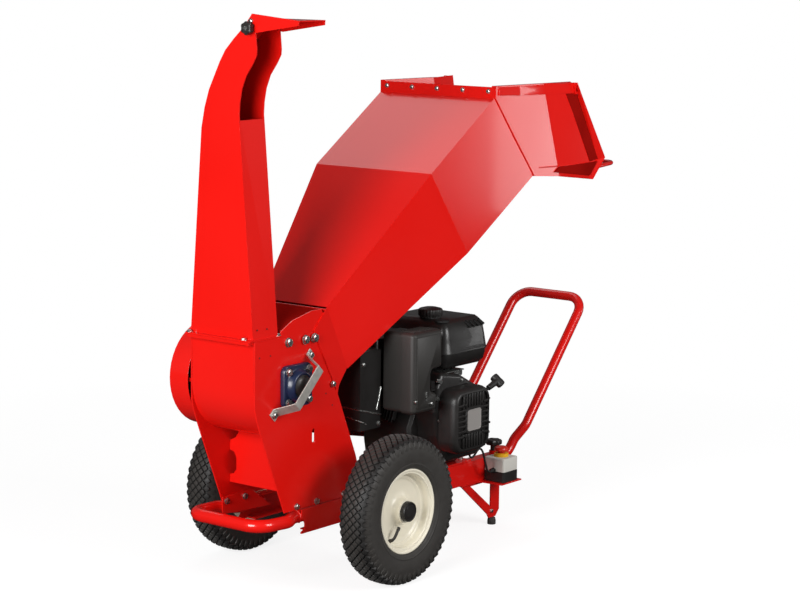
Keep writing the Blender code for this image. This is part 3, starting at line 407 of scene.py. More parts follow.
# Tyre rubber: a matt charcoal with a slight sheen at a glancing angle
rubber = material("tyre_rubber", "#302D2A", Roughness=0.6, Sheen_Weight=0.08, Sheen_Roughness=0.4)
drift(rubber, "Roughness", 0.52, 0.68, 0.02)
uneven(rubber, 0.0008, 0.00005)

# Both tyres turn about one line; painted shade makes the rubber dark between the lugs, and it is a little
# lighter on their tops
tree = rubber.node_tree
from_axle = add(tree, "VectorMath", {0: add(tree, "TexCoord").outputs["Object"], 1: (AXLE_X, 0, AXLE_Z)},
                operation="SUBTRACT").outputs[0]
flat = add(tree, "VectorMath", {0: from_axle, 1: (1, 0, 1)}, operation="MULTIPLY").outputs[0]
from_line = add(tree, "VectorMath", {0: flat}, operation="LENGTH").outputs["Value"]
from_hub = add(tree, "MapRange", {"Value": from_line, "From Min": 0.18, "From Max": 0.2}).outputs[0]
tread_shade = add(tree, "ValToRGB", {0: from_hub})
stops = tread_shade.color_ramp.elements
stops[0].color = linear("#322F2C")
stops[1].color = linear("#34312E")
for place, colour in ((0.35, "#2A2725"), (0.55, "#161413"), (0.78, "#1B1918")):
    stops.new(place).color = linear(colour)
tree.links.new(tread_shade.outputs[0], tree.nodes["Principled BSDF"].inputs["Base Color"])

# Rim paint: a warm cream enamel, smooth and half glossy
cream_paint = material("cream_rim_enamel", "#EFE8D4", Coat_Weight=0.25, Coat_Roughness=0.15)
drift(cream_paint, "Roughness", 0.32, 0.42, 0.05)
uneven(cream_paint, 0.003, 0.00001)

half_tyre = curved([(0.113, 0.03), (0.1136, 0.034), (0.118, 0.0395), (0.1252, 0.042), (0.1268, 0.0432),
                    (0.129, 0.0432), (0.1305, 0.0428), (0.143, 0.0448), (0.159, 0.0455), (0.174, 0.043),
                    (0.185, 0.0378), (0.1902, 0.03), (0.193, 0.019), (0.194, 0.0)], 4)
inner_tyre = curved([(0.19, 0.0), (0.188, 0.018), (0.172, 0.035), (0.125, 0.034), (0.103, 0.024)], 4)
outline = np.concatenate([half_tyre, half_tyre[-2::-1] * (1, -1), inner_tyre[::-1] * (1, -1), inner_tyre[1:],
                          half_tyre[:1]])
carcass = turned(outline, 160)

# The crown's height and outward lean at a distance from the wheel's middle, read from the same profile
crown = half_tyre[half_tyre[:, 0] > 0.15][::-1]


def crown_frames(offset, count, stagger):
    """Matrices round the tyre at a distance from its middle: Z out of the rubber, X along the tread."""
    radius = np.interp(abs(offset), crown[:, 1], crown[:, 0])
    slope = (np.interp(abs(offset) + 0.001, crown[:, 1], crown[:, 0]) - radius) / 0.001 * np.sign(offset)
    turn = (np.arange(count) + stagger) * 2 * np.pi / count
    around = np.stack([-np.sin(turn), np.cos(turn), np.zeros(count)], -1)
    outward = np.stack([np.cos(turn), np.sin(turn), np.full(count, -slope)], -1)
    outward /= np.linalg.norm(outward, axis=1, keepdims=True)
    frames = np.tile(np.eye(4), (count, 1, 1))
    frames[:, :3, 0] = around
    frames[:, :3, 1] = np.cross(outward, around)
    frames[:, :3, 2] = outward
    frames[:, :3, 3] = np.stack([radius * np.cos(turn), radius * np.sin(turn), np.full(count, offset)], -1)
    return frames


LUGS = 56
ROW = 0.011
diamond = bent([(0.0092, 0.0), (0.0, 0.0084), (-0.0092, 0.0), (0.0, -0.0084)], 0.002, 2, loop=True)
heights = [(1.14, -0.002), (1.0, 0.005), (0.94, 0.0057), (0.8, 0.006)]
lug = lofted([np.column_stack([diamond * scale, np.full(len(diamond), height)]) for scale, height in heights])
lug_rows = [placed(lug, *crown_frames(ROW * row, LUGS, 0.5 * (row % 2))) for row in range(-3, 4)]

RIBS = 56
rib_path = half_tyre[(half_tyre[:, 0] > 0.165) & (half_tyre[:, 1] > 0.03)]
rib_tangent = np.gradient(rib_path, axis=0)
rib_normal = np.stack([-rib_tangent[:, 1], rib_tangent[:, 0]], -1)
rib_normal *= np.sign(rib_normal @ (1.0, 1.0))[:, None] / np.linalg.norm(rib_normal, axis=1, keepdims=True)
rib_rise = 0.0042 * np.linspace(0.0, 1.0, len(rib_path))[:, None] ** 0.6
rib_low, rib_top = rib_path - rib_normal * 0.001, rib_path + rib_normal * rib_rise
rib_row = np.stack([np.column_stack([at[:, 0], np.full(len(at), wide), at[:, 1]])
                    for at, wide in ((rib_low, -0.0062), (rib_top, -0.0046), (rib_top, 0.0046),
                                     (rib_low, 0.0062))], 1)
rib = lofted(rib_row)
turns = [np.array(Matrix.Rotation(math.tau * number / RIBS, 4, "Z")) for number in range(RIBS)]
ribs = placed(rib, *turns)
ribs_back = (ribs[0] * (1, 1, -1), ribs[1])

rim_outline = np.concatenate([
    curved([(0.1136, 0.034), (0.1138, 0.0362), (0.111, 0.0372), (0.108, 0.036), (0.1055, 0.0325),
            (0.1015, 0.0302), (0.0992, 0.027), (0.098, 0.019), (0.0958, 0.0122), (0.0915, 0.0094),
            (0.088, 0.0098),
            (0.0845, 0.008), (0.079, 0.0052), (0.064, 0.004), (0.05, 0.005), (0.04, 0.0085),
            (0.0345, 0.013), (0.0318, 0.019), (0.0306, 0.03)], 5),
    np.array([(0.011, 0.0302), (0.011, -0.03), (0.025, -0.03), (0.029, -0.006), (0.05, 0.0005),
              (0.08, 0.0012), (0.093, 0.003), (0.0945, -0.006), (0.0985, -0.027), (0.105, -0.035),
              (0.1125, -0.037), (0.1138, -0.0355), (0.1132, -0.0335), (0.1018, -0.0325), (0.1018, 0.0325),
              (0.1136, 0.034)])])
rim = turned(rim_outline, 128)
cap = turned([(0, 0.0452), (0.013, 0.045), (0.018, 0.0445), (0.019, 0.0434), (0.0215, 0.0434),
              (0.0228, 0.0448),
              (0.025, 0.0446), (0.0266, 0.043), (0.0272, 0.04), (0.027, 0.0303), (0.011, 0.0303)], 64)
stem = swept(curved([(0.0, 0.0905, 0.012), (0.0, 0.085, 0.0215), (0.0, 0.076, 0.026), (0.0, 0.056, 0.027)],
                    4),
             np.interp(np.arange(13), [0, 3, 5, 12], [0.0052, 0.0046, 0.004, 0.004]), 16)
valve_cap = placed(turned([(0, 0.009), (0.0036, 0.009), (0.0046, 0.0078), (0.0046, 0), (0, 0)], 24, 8, 0.08),
                   aim((0.0, 0.056, 0.027), (0, -1, 0.02)))

VALVE_TURN = 2.55
tyre = joined(carcass, *lug_rows, ribs, ribs_back)
for side, sign in (("near", -1), ("far", 1)):
    hub = aim((0.0, sign * WHEEL_Y, AXLE_Z), (0.0, sign, 0.0))
    body = side + "_wheel"
    make("tyre_rubber_" + side, placed(tyre, hub), rubber, body, joined_on=["tyre_" + side])
    make("pressed_rim_" + side, placed(rim, hub), cream_paint, body,
         joined_on=["rim_" + side, "wheel_disc_" + side])
    make("hub_cap_cover_" + side, placed(cap, hub), black_plastic, body,
         joined_on=["hub_cap_" + side])
    valve_turn = hub @ np.array(Matrix.Rotation(-sign * VALVE_TURN, 4, "Z"))
    make("valve_" + side, placed(joined(stem, valve_cap), valve_turn), rubber, body, sharp=60)

# Rotor housing
# Two 4 mm side plates, a front sheet rolled under the rotor, a folded top and a set-back cross plate.
# They are welded from inside and bolted to the rails; the coat is the same red.

COLLAR_SHEET = 0.0033
for sheet in ("side_plate_near", "side_plate_far", "drum_wall", "cross_plate"):
    skin(sheet, red_coat, 0.0014)
# Shaded coat: painted shade, the same red darkened where sheets face each other and little light gets in
shaded_coat = material("red_powder_coat_in_shade", "#8E100C", Roughness=0.6, Specular_IOR_Level=0.0)
drift(shaded_coat, "Base Color", "#93110D", "#850E0A", 0.1)
# The housing's top takes the shaded coat: painted shade over the whole sheet
skin("housing_top", shaded_coat)
# The inside of a drilled hole, where no light comes back
hole_shade = material("drilled_hole_shade", "#2A0605", Roughness=0.8)
uneven(hole_shade, 0.001, 0.00002)
for side, sign in (("near", -1), ("far", 1)):
    y = sign * PLATE_Y
    collar_y = y + sign * COLLAR_SHEET
    bolts("collar_bolts_" + side, 0.0115, (0, sign, 0), [(x, collar_y, 0.663) for x in (-0.1946, -0.1585)])
    bolts("plate_bolts_" + side, 0.0115, (0, sign, 0), [(-0.2583, y, 0.663)])
    bolts("anvil_bolts_" + side, 0.008, (0, sign, 0), [(-0.0809, collar_y, 0.5296)])


def dots(name, radius, axis, places):
    """Small drilled holes: dark discs of painted shade with a fine rounded lip, a tenth of a millimetre
    proud.
    """
    disc = turned([(0, 0.0001), (radius * 0.95, 0.0001), (radius, -0.0002)], 20)
    return make(name, placed(disc, *[aim(place, axis) for place in places]), hole_shade, "frame")


for side, sign in (("near", -1), ("far", 1)):
    y = sign * PLATE_Y
    dots("plate_holes_" + side, 0.0024, (0, sign, 0),
         [(x, y, z) for x, z in ((-0.1054, 0.5069), (-0.0791, 0.4718), (-0.3691, 0.6365), (-0.327, 0.6372))])

# Anvil and rotor
# A hardened bed and counter knife under the throat, and a drum with two bolted knives and two paddles.
# They show only down the hopper and through the slots.

# Tool steel: grey, ground in one direction, dulled by wood
tool_steel = material("ground_tool_steel", "#8C8A86", Metallic=1.0, Roughness=0.38)
uneven(tool_steel, 0.001, 0.00002, stretch=(1.0, 0.08, 1.0))
# Drum paint: a plain black primer
black_primer = material("black_primer", "#1D1C1C", Roughness=0.55)
uneven(black_primer, 0.002, 0.00003)
for node in ("anvil_bed", "knife_a", "knife_b"):
    skin(node, tool_steel, 0.0004)
skin("rotor_drum", black_primer, 0.0006)
skin("rotor_shaft", bar_steel, 0.0008)

# Bearings and their guard
# Square four-bolt flange bearings in a navy painted casting, the near one closed by a black cap.
# A galvanised strap is bent over the near bearing and bolted to the plate at both feet.

ROTOR_X = -0.232
ROTOR_Z = 0.548

# Casting paint: dark navy enamel over a sand-cast skin
navy_paint = material("navy_casting_enamel", "#16213F", Roughness=0.35, Coat_Weight=0.3)
uneven(navy_paint, 0.004, 0.00012, 4.0)
# Hot-dip galvanising: dull warm silver with faint crystal patches
galvanised = material("galvanised_strap", "#C9C5BE", Metallic=0.75)
drift(galvanised, "Base Color", "#CFCBC4", "#B9B5AE", 0.012)
drift(galvanised, "Roughness", 0.42, 0.58, 0.009)
uneven(galvanised, 0.0015, 0.00003)


def stacked(outline, layers, place=np.eye(4)):
    """An anticlockwise outline lofted through layers of (inset, height), then placed by a matrix.

    Each layer moves every point inwards along the outline's own normal there."""
    outline = np.array(outline, float)
    along = np.roll(outline, -1, 0) - np.roll(outline, 1, 0)
    inward = np.stack([-along[:, 1], along[:, 0]], -1)
    inward /= np.linalg.norm(inward, axis=1, keepdims=True)
    rows = [np.column_stack([outline + inward * inset, np.full(len(outline), height)])
            for inset, height in layers]
    return placed(lofted(rows, closed=False), place)


def block(low_x, low_y, high_x, high_y):
    """The four corners of a rectangle, anticlockwise."""
    return [(low_x, low_y), (high_x, low_y), (high_x, high_y), (low_x, high_y)]


def rounded(low_x, low_y, high_x, high_y, radius, steps):
    """A rectangle's outline with round corners."""
    return bent(block(low_x, low_y, high_x, high_y), radius, steps, loop=True)


def upright(sign):
    """The matrix that lays an outline in X and Z and counts heights away from the machine's middle."""
    return np.array([[1, 0, 0, 0], [0, 0, sign, 0], [0, 1, 0, 0], [0, 0, 0, 1]], float)


for side, sign in (("near", -1), ("far", 1)):
    face = PLATE_Y + 0.0003
    flange = rounded(ROTOR_X - 0.056, ROTOR_Z - 0.056, ROTOR_X + 0.056, ROTOR_Z + 0.056, 0.018, 6)
    casting = stacked(flange, [(0, face), (0, face + 0.01), (0.0015, face + 0.013), (0.004, face + 0.0135)],
                      upright(sign))
    boss_profile = [(0.052, 0.012), (0.045, 0.015), (0.0425, 0.02), (0.0385, 0.029), (0.036, 0.0305),
                    (0.033, 0.0305), (0.032, 0.029), (0.018, 0.029), (0.0178, 0.012)]
    boss = placed(turned(boss_profile, 64), aim((ROTOR_X, sign * PLATE_Y, ROTOR_Z), (0, sign, 0)))
    make("bearing_casting_" + side, joined(casting, boss), navy_paint, "frame",
         joined_on=["bearing_" + side], edge=0.0008)
    corners = [(ROTOR_X + a * 0.04, sign * (face + 0.0135), ROTOR_Z + b * 0.04)
               for a in (-1, 1) for b in (-1, 1)]
    bolts("bearing_bolts_" + side, 0.01, (0, sign, 0), corners)
end_cap = turned([(0, 0.0375), (0.012, 0.0368), (0.022, 0.034), (0.029, 0.03), (0.0315, 0.027),
                  (0, 0.0265)], 56)
make("bearing_end_cap", placed(end_cap, aim((ROTOR_X, -PLATE_Y - 0.001, ROTOR_Z), (0, -1, 0))),
     black_plastic, "frame")

skin("bearing_guard", galvanised, 0.0012)
strap_along = np.array([math.cos(math.radians(44.2)), 0, math.sin(math.radians(44.2))])
strap_middle = np.array([ROTOR_X - 0.0112, -PLATE_Y - 0.0033, ROTOR_Z + 0.0025])
bolts("strap_bolts", 0.008, (0, -1, 0), [strap_middle + strap_along * reach for reach in (-0.1, 0.1)])

# Belt drive
# Cast pulleys and a banded V belt behind a rounded sheet guard on the far side.
# The guard is red like the housing, and the belt shows only from below.

# Belt rubber: dull black with a woven back
belt_rubber = material("belt_rubber", "#1C1B1A", Roughness=0.75)
uneven(belt_rubber, 0.0012, 0.00006)
skin("belt_guard", red_coat, 0.0015)
skin("drive_belt", belt_rubber, 0)
for node in ("rotor_pulley", "clutch_pulley", "crankshaft"):
    skin(node, bar_steel, 0)
guard_bolts = [(ROTOR_X + 0.1235 * math.cos(turn), 0.2012, ROTOR_Z + 0.1235 * math.sin(turn))
               for turn in (math.pi, math.pi / 2, -math.pi / 2)]
bolts("guard_bolts", 0.006, (0, 1, 0), guard_bolts)

# Discharge chute and hood
# A welded sheet duct on a bolted base flange; its top leans over towards the near side.
# The hood tips on two pins at the mouth and is held by a black clamp knob with a steel centre.

chute_skin = skin("chute", red_coat)
# The duct's inner faces take the shaded coat, painted shade: they are found by their place and the way they
# face
chute_skin.data.materials.append(shaded_coat)
for face in chute_skin.data.polygons:
    x, y, z = face.center - Vector((AXLE_X, 0, 0))
    inner_side = -0.3895 < x < -0.3005 and abs(face.normal.x) > 0.9
    inner_back = face.normal.y < -0.2 and y > -0.05
    if z > 0.7 and (inner_side or inner_back):
        face.material_index = 1
skin("deflector_hood", red_coat)
flange_tops = [(-0.3984, -0.0835, 0.6848), (-0.3984, 0.104, 0.6848), (-0.2905, -0.104, 0.6848),
               (-0.2905, 0.104, 0.6848)]
bolts("flange_bolts", 0.007, (0, 0, 1), flange_tops)
bolts("hood_pin_bolts", 0.006, (1, 0, 0), [(-0.2918, -0.1, 1.468)], "hood")
bolts("hood_washer", 0.006, (-1, 0, 0), [(-0.3932, -0.1014, 1.4855)], "hood")
dots("chute_holes", 0.0022, (0, -1, 0.09), [(-0.3735, -0.1068, 0.7086), (-0.3361, -0.1068, 0.7075)])
clamp = turned([(0, 0.016), (0.006, 0.016), (0.0066, 0.019), (0.014, 0.0198), (0.0172, 0.018),
                (0.0176, 0.012),
                (0.0168, 0.006), (0.01, 0.003), (0.0082, 0.0), (0, 0)], 72, 6, 0.14)
clamp_place = aim((-0.3933, -0.1, 1.468), (-1, 0, 0))
make("hood_clamp_knob", placed(clamp, clamp_place), black_plastic, "hood_clamp",
     joined_on=["hood_knob"])
clamp_insert = turned([(0, 0.0196), (0.0062, 0.0196), (0.0068, 0.019), (0.0068, 0.015)], 6)
clamp_stud = turned([(0.0038, 0.001), (0.0038, -0.0115), (0, -0.012)], 20)
make("hood_clamp_stud", placed(joined(clamp_insert, clamp_stud), clamp_place), zinc, "hood_clamp")

# Feed hopper
# Folded 3 mm sheet from the throat to the bolted strip, then a flared mouth with a turned lip.
# The two sections are bolted through an upstanding strip; a bent rod below the mouth is the grab bar.

for sheet in ("hopper", "hopper_mouth"):
    skin(sheet, red_coat, 0.002, sharp=5)
facing_x = np.array([[0, 0, 1, 0], [1, 0, 0, 0], [0, 1, 0, 0], [0, 0, 0, 1]], float)
# The sheet at the throat's front takes the shaded coat: painted shade
throat_sheet = stacked(block(-0.104, 0.66, 0.104, 0.729), [(0, -0.118), (0, -0.115)], facing_x)
make("throat_front_sheet", throat_sheet, shaded_coat, "frame", edge=0.0005)
hem = swept([(-0.11, y, 0.73) for y in (-0.114, -0.04, 0.04, 0.114)], 0.0034, 16)
make("hopper_hem", hem, red_coat, "frame")

PATCH_DEPTH = 0.006


def patch(corners):
    """A flat patch of sheet: its outer corners, and the same ones a little nearer the machine's middle."""
    corners = np.array(corners, float)
    return lofted([corners, corners - np.sign(corners[:, 1:2]) * (0, PATCH_DEPTH, 0)])


# At each side of the mouth: its seam, dark patches of painted shade inside its lip and under its wall, bands
# on top and a hem
seam = [(0.507, -0.201, 1.262), (0.6068, -0.201, 1.1428), (0.6684, -0.201, 1.0732), (0.702, -0.2005, 1.033)]
# Painted shade: dark patches laid on the sheet inside the lip and under the mouth's wall
lip_shade = [(0.833, -0.2194, 1.259), (0.962, -0.2226, 1.056), (0.999, -0.2264, 1.062), (0.879, -0.2264, 1.258)]
floor_shade = [(0.8, -0.2068, 1.034), (0.85, -0.2082, 1.0275), (0.974, -0.215, 1.013),
               (0.992, -0.2276, 1.054), (0.825, -0.2078, 1.048)]
near_band = [(0.52, -0.2078, 1.2665), (0.62, -0.2078, 1.2625), (0.62, -0.2046, 1.2885),
             (0.52, -0.2046, 1.2895)]
lip_band = [(0.62, -0.2064, 1.2625), (0.75, -0.2064, 1.26), (0.743, -0.2064, 1.288), (0.62, -0.2064, 1.2885)]
lip_end = [(0.75, -0.2064, 1.26), (0.878, -0.228, 1.2605), (0.86, -0.2272, 1.2895), (0.743, -0.2064, 1.288)]
hem_line = [(0.7263, -0.204, 1.0523), (0.82, -0.2044, 1.05), (0.9656, -0.2216, 1.051)]
for side, sign in (("near", -1), ("far", 1)):
    flip = np.array([1, -sign, 1])
    make("mouth_seam_" + side, swept(seam * flip, 0.003, 12), red_coat, "frame")
    make("mouth_shade_" + side, joined(patch(lip_shade * flip), patch(floor_shade * flip)), shaded_coat, "frame")
    bands = joined(*[patch(corners * flip) for corners in (near_band, lip_band, lip_end)])
    make("mouth_band_" + side, bands, red_coat, "frame", edge=0.0004, sharp=20)
    make("mouth_hem_" + side, swept(hem_line * flip, 0.0018, 12), red_coat, "frame")
bolts("strip_bolts", 0.006, (-1, 0, 0),
      [(0.504, y, 1.278) for y in (0.1765, 0.087, -0.0025, -0.092, -0.1807)])
grab_corners = mirrored([(0.9935, 0.185, 1.004), (1.02, 0.185, 1.029), (1.1555, 0.185, 1.0384)])
make("grab_bar_rod", swept(bent(grab_corners, 0.03), 0.006, 24), red_coat, "frame",
     joined_on=["grab_bar"])

# Engine block
# A single-cylinder petrol engine painted black: crankcase, leaning finned cylinder, muffler and shield.
# Cast aluminium shows at the carburettor, and bolts are zinc plated.

# Engine paint: satin black over castings and pressings
engine_black = material("satin_black_engine_paint", "#1E1C1B", Roughness=0.4, Coat_Weight=0.15)
drift(engine_black, "Roughness", 0.34, 0.46, 0.03)
uneven(engine_black, 0.002, 0.00003)
# Bare cast aluminium: grey, matt and grainy
cast_metal = material("bare_cast_aluminium", "#A5A29D", Metallic=0.9, Roughness=0.45)
uneven(cast_metal, 0.0015, 0.00008)
for node in ("crankcase", "cylinder", "muffler"):
    skin(node, engine_black, 0.001)
shield_plan = bent([(0.047, 0.09), (0.0455, 0.09), (0.0455, -0.1045), (0.134, -0.1045), (0.134, -0.103),
                    (0.047, -0.103)], 0.0004, 1, loop=True)
make("muffler_shield", stacked(shield_plan, [(0, 0.378), (0, 0.593)]), engine_black, "frame")
shield_trim = joined(swept([(0.0448, 0.02, 0.442), (0.0448, -0.1048, 0.4364), (0.09, -0.1052, 0.425),
                            (0.134, -0.1052, 0.4135)], 0.0022, 10),
                     swept([(0.0448, -0.06, 0.413), (0.0448, -0.1048, 0.4065), (0.0703, -0.1052, 0.3954)],
                           0.0016, 10),
                     swept([(0.1145, -0.1056, 0.4297), (0.123, -0.1056, 0.45), (0.1345, -0.1056, 0.49)],
                           0.0018, 10))
make("shield_trim", shield_trim, zinc, "frame", sharp=60)
bolts("shield_bolts", 0.006, (0, -1, 0), [(0.124, -0.1046, 0.39), (0.058, -0.1046, 0.56)])
skin("carburettor", cast_metal, 0.001)
cowl_plan = rounded(0.134, -0.088, 0.32, 0.085, 0.01, 4)
cowl = stacked(cowl_plan, [(0.002, 0.43), (0, 0.432), (0, 0.61), (0.003, 0.616), (0.008, 0.618)])
tank_bed = stacked(rounded(0.31, -0.09, 0.5, 0.065, 0.01, 4),
                   [(0.002, 0.42), (0, 0.422), (0, 0.506), (0.002, 0.5085)])
make("cylinder_cowl", joined(cowl, tank_bed), engine_black, "frame")
bolts("case_bolts", 0.006, (0, -1, 0), [(x, -0.101, z) for x, z in ((0.29, 0.3), (0.3, 0.4), (0.5, 0.24))])

# Air filter box
# A moulded black case with a clipped cover; the cover has a raised panel and a notch for the levers.
# Two plated screws hold it at the bottom.

# Filled nylon: a lighter, duller black than the starter's
cover_plastic = material("filled_nylon_cover", "#2B2927", Roughness=0.5)
uneven(cover_plastic, 0.0007, 0.00003)
AIR_FACE = 0.214
air_case = rounded(0.142, 0.424, 0.22, 0.643, 0.012, 5)
air_cover = bent([(0.14, 0.422), (0.2455, 0.422), (0.249, 0.47), (0.222, 0.476), (0.222, 0.535),
                  (0.27, 0.538), (0.27, 0.645), (0.14, 0.645)], 0.0115, 5, loop=True)
air_panel = bent([(0.154, 0.436), (0.233, 0.436), (0.236, 0.461), (0.211, 0.468), (0.211, 0.544),
                  (0.259, 0.549), (0.259, 0.633), (0.154, 0.633)], 0.007, 5, loop=True)
air_shape = joined(
    stacked(air_case, [(0.004, 0.1043), (0.001, 0.106), (0.0, 0.11), (0.0, 0.17)], upright(-1)),
    stacked(air_cover, [(0.0, 0.168), (0.0, 0.1985), (0.0012, 0.2045), (0.0044, 0.2095), (0.008, 0.212),
                        (0.011, 0.2128)], upright(-1)),
    stacked(air_panel, [(0.0, 0.211), (0.0, 0.213), (0.0011, AIR_FACE)], upright(-1)))
make("air_filter_cover", air_shape, cover_plastic, "frame", joined_on=["air_filter_box"],
     edge=0.001,
     sharp=50)
bolts("air_box_screws", 0.0055, (0, -1, 0), [(0.2174, -0.214, 0.444), (0.1494, -0.212, 0.458)])
clip = stacked(rounded(0.1925, 0.4545, 0.1975, 0.4816, 0.002, 3), [(0, 0.2139), (0, 0.2165)], upright(-1))
make("air_box_clip", clip, zinc, "frame", edge=0.0005)
air_ribs = [stacked(rounded(x, -0.196, x + 0.0045, -0.15, 0.002, 2),
                    [(0, 0.64), (0, 0.6462), (0.001, 0.6468)]) for x in np.linspace(0.16, 0.24, 7)]
make("air_box_ribs", joined(*air_ribs), cover_plastic, "frame")

# Fuel tank
# A pressed steel tank in two halves with a seam flange, painted satin black.
# The filler cap is knurled plastic, and a round gauge sits beside it.

tank_plan = rounded(0.335, -0.172, 0.549, 0.075, 0.034, 8)
tank_layers = [(0.028, 0.5102), (0.022, 0.5112), (0.008, 0.523), (0.003, 0.542), (0.003, 0.553),
               (-0.001, 0.554),
               (-0.001, 0.5575), (0.0, 0.559), (0.005, 0.59), (0.009, 0.612), (0.013, 0.625), (0.019, 0.635),
               (0.026, 0.641), (0.031, 0.644), (0.0328, 0.646)]
make("fuel_tank_shell", stacked(tank_plan, tank_layers), engine_black, "frame",
     joined_on=["fuel_tank"], sharp=50)
CAP_PLACE = aim((0.392, -0.075, 0.646))
cap_profile = [(0, 0.029), (0.02, 0.0288), (0.023, 0.027), (0.03, 0.0262), (0.0335, 0.024), (0.0345, 0.02),
               (0.0345, 0.007), (0.033, 0.005), (0.03, 0.0045), (0.03, 0.0003), (0, 0.0003)]
make("fuel_cap_knurled", placed(turned(cap_profile, 144, 24, 0.05), CAP_PLACE), black_plastic, "tank_cap",
     joined_on=["fuel_cap"])
# Painted shade: the inside of a moulded slot, nearly black, with no gloss; the gauge's face takes the same
# near-black
tank_slot_shade = material("moulded_slot_shade", "#0B0A0A", Roughness=0.7)
uneven(tank_slot_shade, 0.001, 0.00002)
gauge = turned([(0, 0.0004), (0.0165, 0.0004), (0.0175, 0.0012), (0.019, 0.001), (0.0195, -0.004)], 48)
make("fuel_gauge", placed(gauge, aim((0.37, -0.133, 0.6458))), tank_slot_shade, "frame")
vent_bar = stacked(rounded(-0.0038, -0.011, 0.0038, 0.011, 0.0035, 3), [(0, -0.003), (0, 0.0006)])
vent_lip = stacked(rounded(0.0038, -0.012, 0.0056, 0.012, 0.0008, 2), [(0, -0.003), (0, 0.0022)])
vent_places = [aim((0.455 + 0.02 * number, -0.1605, 0.6275), (0, -0.8, 0.6), 0.6) for number in range(4)]
make("tank_vents", placed(vent_bar, *vent_places), tank_slot_shade, "frame")
make("tank_vent_lips", placed(vent_lip, *vent_places), engine_black, "frame")

# Fan shroud and recoil starter
# The shroud is a pressed black cover over the flywheel, and the starter a moulded one bolted on it.
# Its face is slotted round a bare square plate, and the grip pulls out towards the rear.

shroud_plan = bent([(0.345, 0.25), (0.5, 0.25), (0.512, 0.3), (0.512, 0.437), (0.491, 0.4515),
                    (0.403, 0.497), (0.315, 0.512), (0.292, 0.47), (0.292, 0.4), (0.308, 0.33)],
                   0.016, 4, loop=True)
shroud_layers = [(0, 0.1008), (0, 0.156), (0.0012, 0.164), (0.004, 0.1705), (0.009, 0.1745), (0.014, 0.176)]
make("fan_shroud_pressing", stacked(shroud_plan, shroud_layers, upright(-1)), engine_black, "frame",
     joined_on=["fan_shroud"], sharp=50)

FACE = 0.235
cover_plan = rounded(0.302, 0.284, 0.47, 0.466, 0.04, 8)
cover_layers = [(0, 0.1764), (0, 0.212), (0.001, 0.22), (0.0036, 0.228), (0.0075, 0.233), (0.0105, FACE)]
opening = rounded(0.3165, 0.2985, 0.456, 0.452, 0.028, 8)
cover_rows = stacked(cover_plan, cover_layers, upright(-1))[0].reshape(-1, len(cover_plan), 3)
opening_rows = [np.column_stack([opening[:, 0], np.full(len(opening), -depth), opening[:, 1]])
                for depth in (FACE, 0.226)]
starter = [lofted(np.concatenate([cover_rows, opening_rows]))]


def bar(low_x, low_z, high_x, high_z, low, high):
    """A moulded bar on the starter's face with rounded corners, from one depth to another."""
    outline = rounded(low_x, low_z, high_x, high_z, 0.0012, 2)
    return stacked(outline, [(0, low), (0, high - 0.0008), (0.0008, high)], upright(-1))


for x in np.linspace(0.344, 0.432, 8):
    starter.append(bar(x - 0.003, 0.408, x + 0.003, 0.4535, 0.2262, FACE))
    starter.append(bar(x - 0.003, 0.297, x + 0.003, 0.34, 0.2262, FACE))
for z in np.linspace(0.333, 0.421, 7):
    starter.append(bar(0.315, z - 0.0034, 0.356, z + 0.0034, 0.2262, FACE))
    starter.append(bar(0.42, z - 0.0034, 0.4575, z + 0.0034, 0.2262, FACE))
starter.append(stacked(rounded(0.352, 0.34, 0.424, 0.414, 0.01, 5),
                       [(0, 0.2262), (0, 0.234), (0.001, 0.2358)], upright(-1)))
PULL = np.array([0.95, 0.0, 0.31]) / math.hypot(0.95, 0.31)
CORD_EXIT = np.array([0.468, -0.205, 0.437])
eyelet = turned([(0, 0.016), (0.0045, 0.016), (0.0075, 0.0155), (0.009, 0.0135), (0.009, -0.01),
                 (0, -0.01)], 32)
starter.append(placed(eyelet, aim(CORD_EXIT, PULL)))
make("recoil_starter_cover", joined(*starter), black_plastic, "frame",
     joined_on=["recoil_cover"],
     sharp=50)

# The starter's bare plate: brushed aluminium with rounded corners, no marks on it
plate_metal = material("bare_brushed_plate", "#B5B0AC", Metallic=0.45, Roughness=0.4)
uneven(plate_metal, 0.001, 0.00001, stretch=(0.1, 1.0, 1.0))
bare_plate = stacked(rounded(0.357, 0.347, 0.419, 0.407, 0.009, 5),
                     [(0, 0.2355), (0, 0.2368), (0.002, 0.2368), (0.0026, 0.2362)], upright(-1))
make("bare_plate", bare_plate, plate_metal, "frame")
bolts("starter_bolts", 0.0032, (0.5, -1, 0), [(x, -0.231, z) for x, z in ((0.464, 0.425), (0.4665, 0.356),
                                                                       (0.464, 0.329), (0.444, 0.296))])
bolts("shroud_bolts", 0.005, (0, -1, 0), [(0.306, -0.1745, 0.377), (0.408, -0.1758, 0.478)])

grip_base = CORD_EXIT + PULL * 0.0266
across = np.cross((0, 1, 0), PULL) + (0, -1, 0)
grip_stem = turned([(0, -0.0002), (0.006, 0.0), (0.008, 0.002), (0.0085, 0.02), (0.0105, 0.044),
                    (0, 0.044)], 40)
grip_head = turned([(0, -0.019), (0.0085, -0.0188), (0.0122, -0.0165), (0.013, -0.008), (0.0122, 0.0),
                    (0.013, 0.008),
                    (0.0122, 0.0165), (0.0085, 0.0188), (0, 0.019)], 40)
make("starter_grip", joined(placed(grip_stem, aim(grip_base, PULL)),
                            placed(grip_head, aim(grip_base + PULL * 0.048, across))),
     black_plastic, "grip", joined_on=["recoil_grip"])

# Braided nylon cord: black and dull, with a fine twill
cord_braid = material("braided_nylon_cord", "#262423", Roughness=0.8)
uneven(cord_braid, 0.0008, 0.0001)
cord_start = CORD_EXIT + PULL * 0.0125
cord_path = cord_start + PULL * np.linspace(0, 0.0155, 17)[:, None]
cord = make("starter_cord", swept(cord_path, 0.0024, 12), cord_braid, None)
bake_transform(cord)
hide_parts("recoil_cord")

# Levers and linkage
# Two plated steel levers, a control plate under the tank, two rods and a fuel hose.
# They fill the space between the air filter box and the shroud.

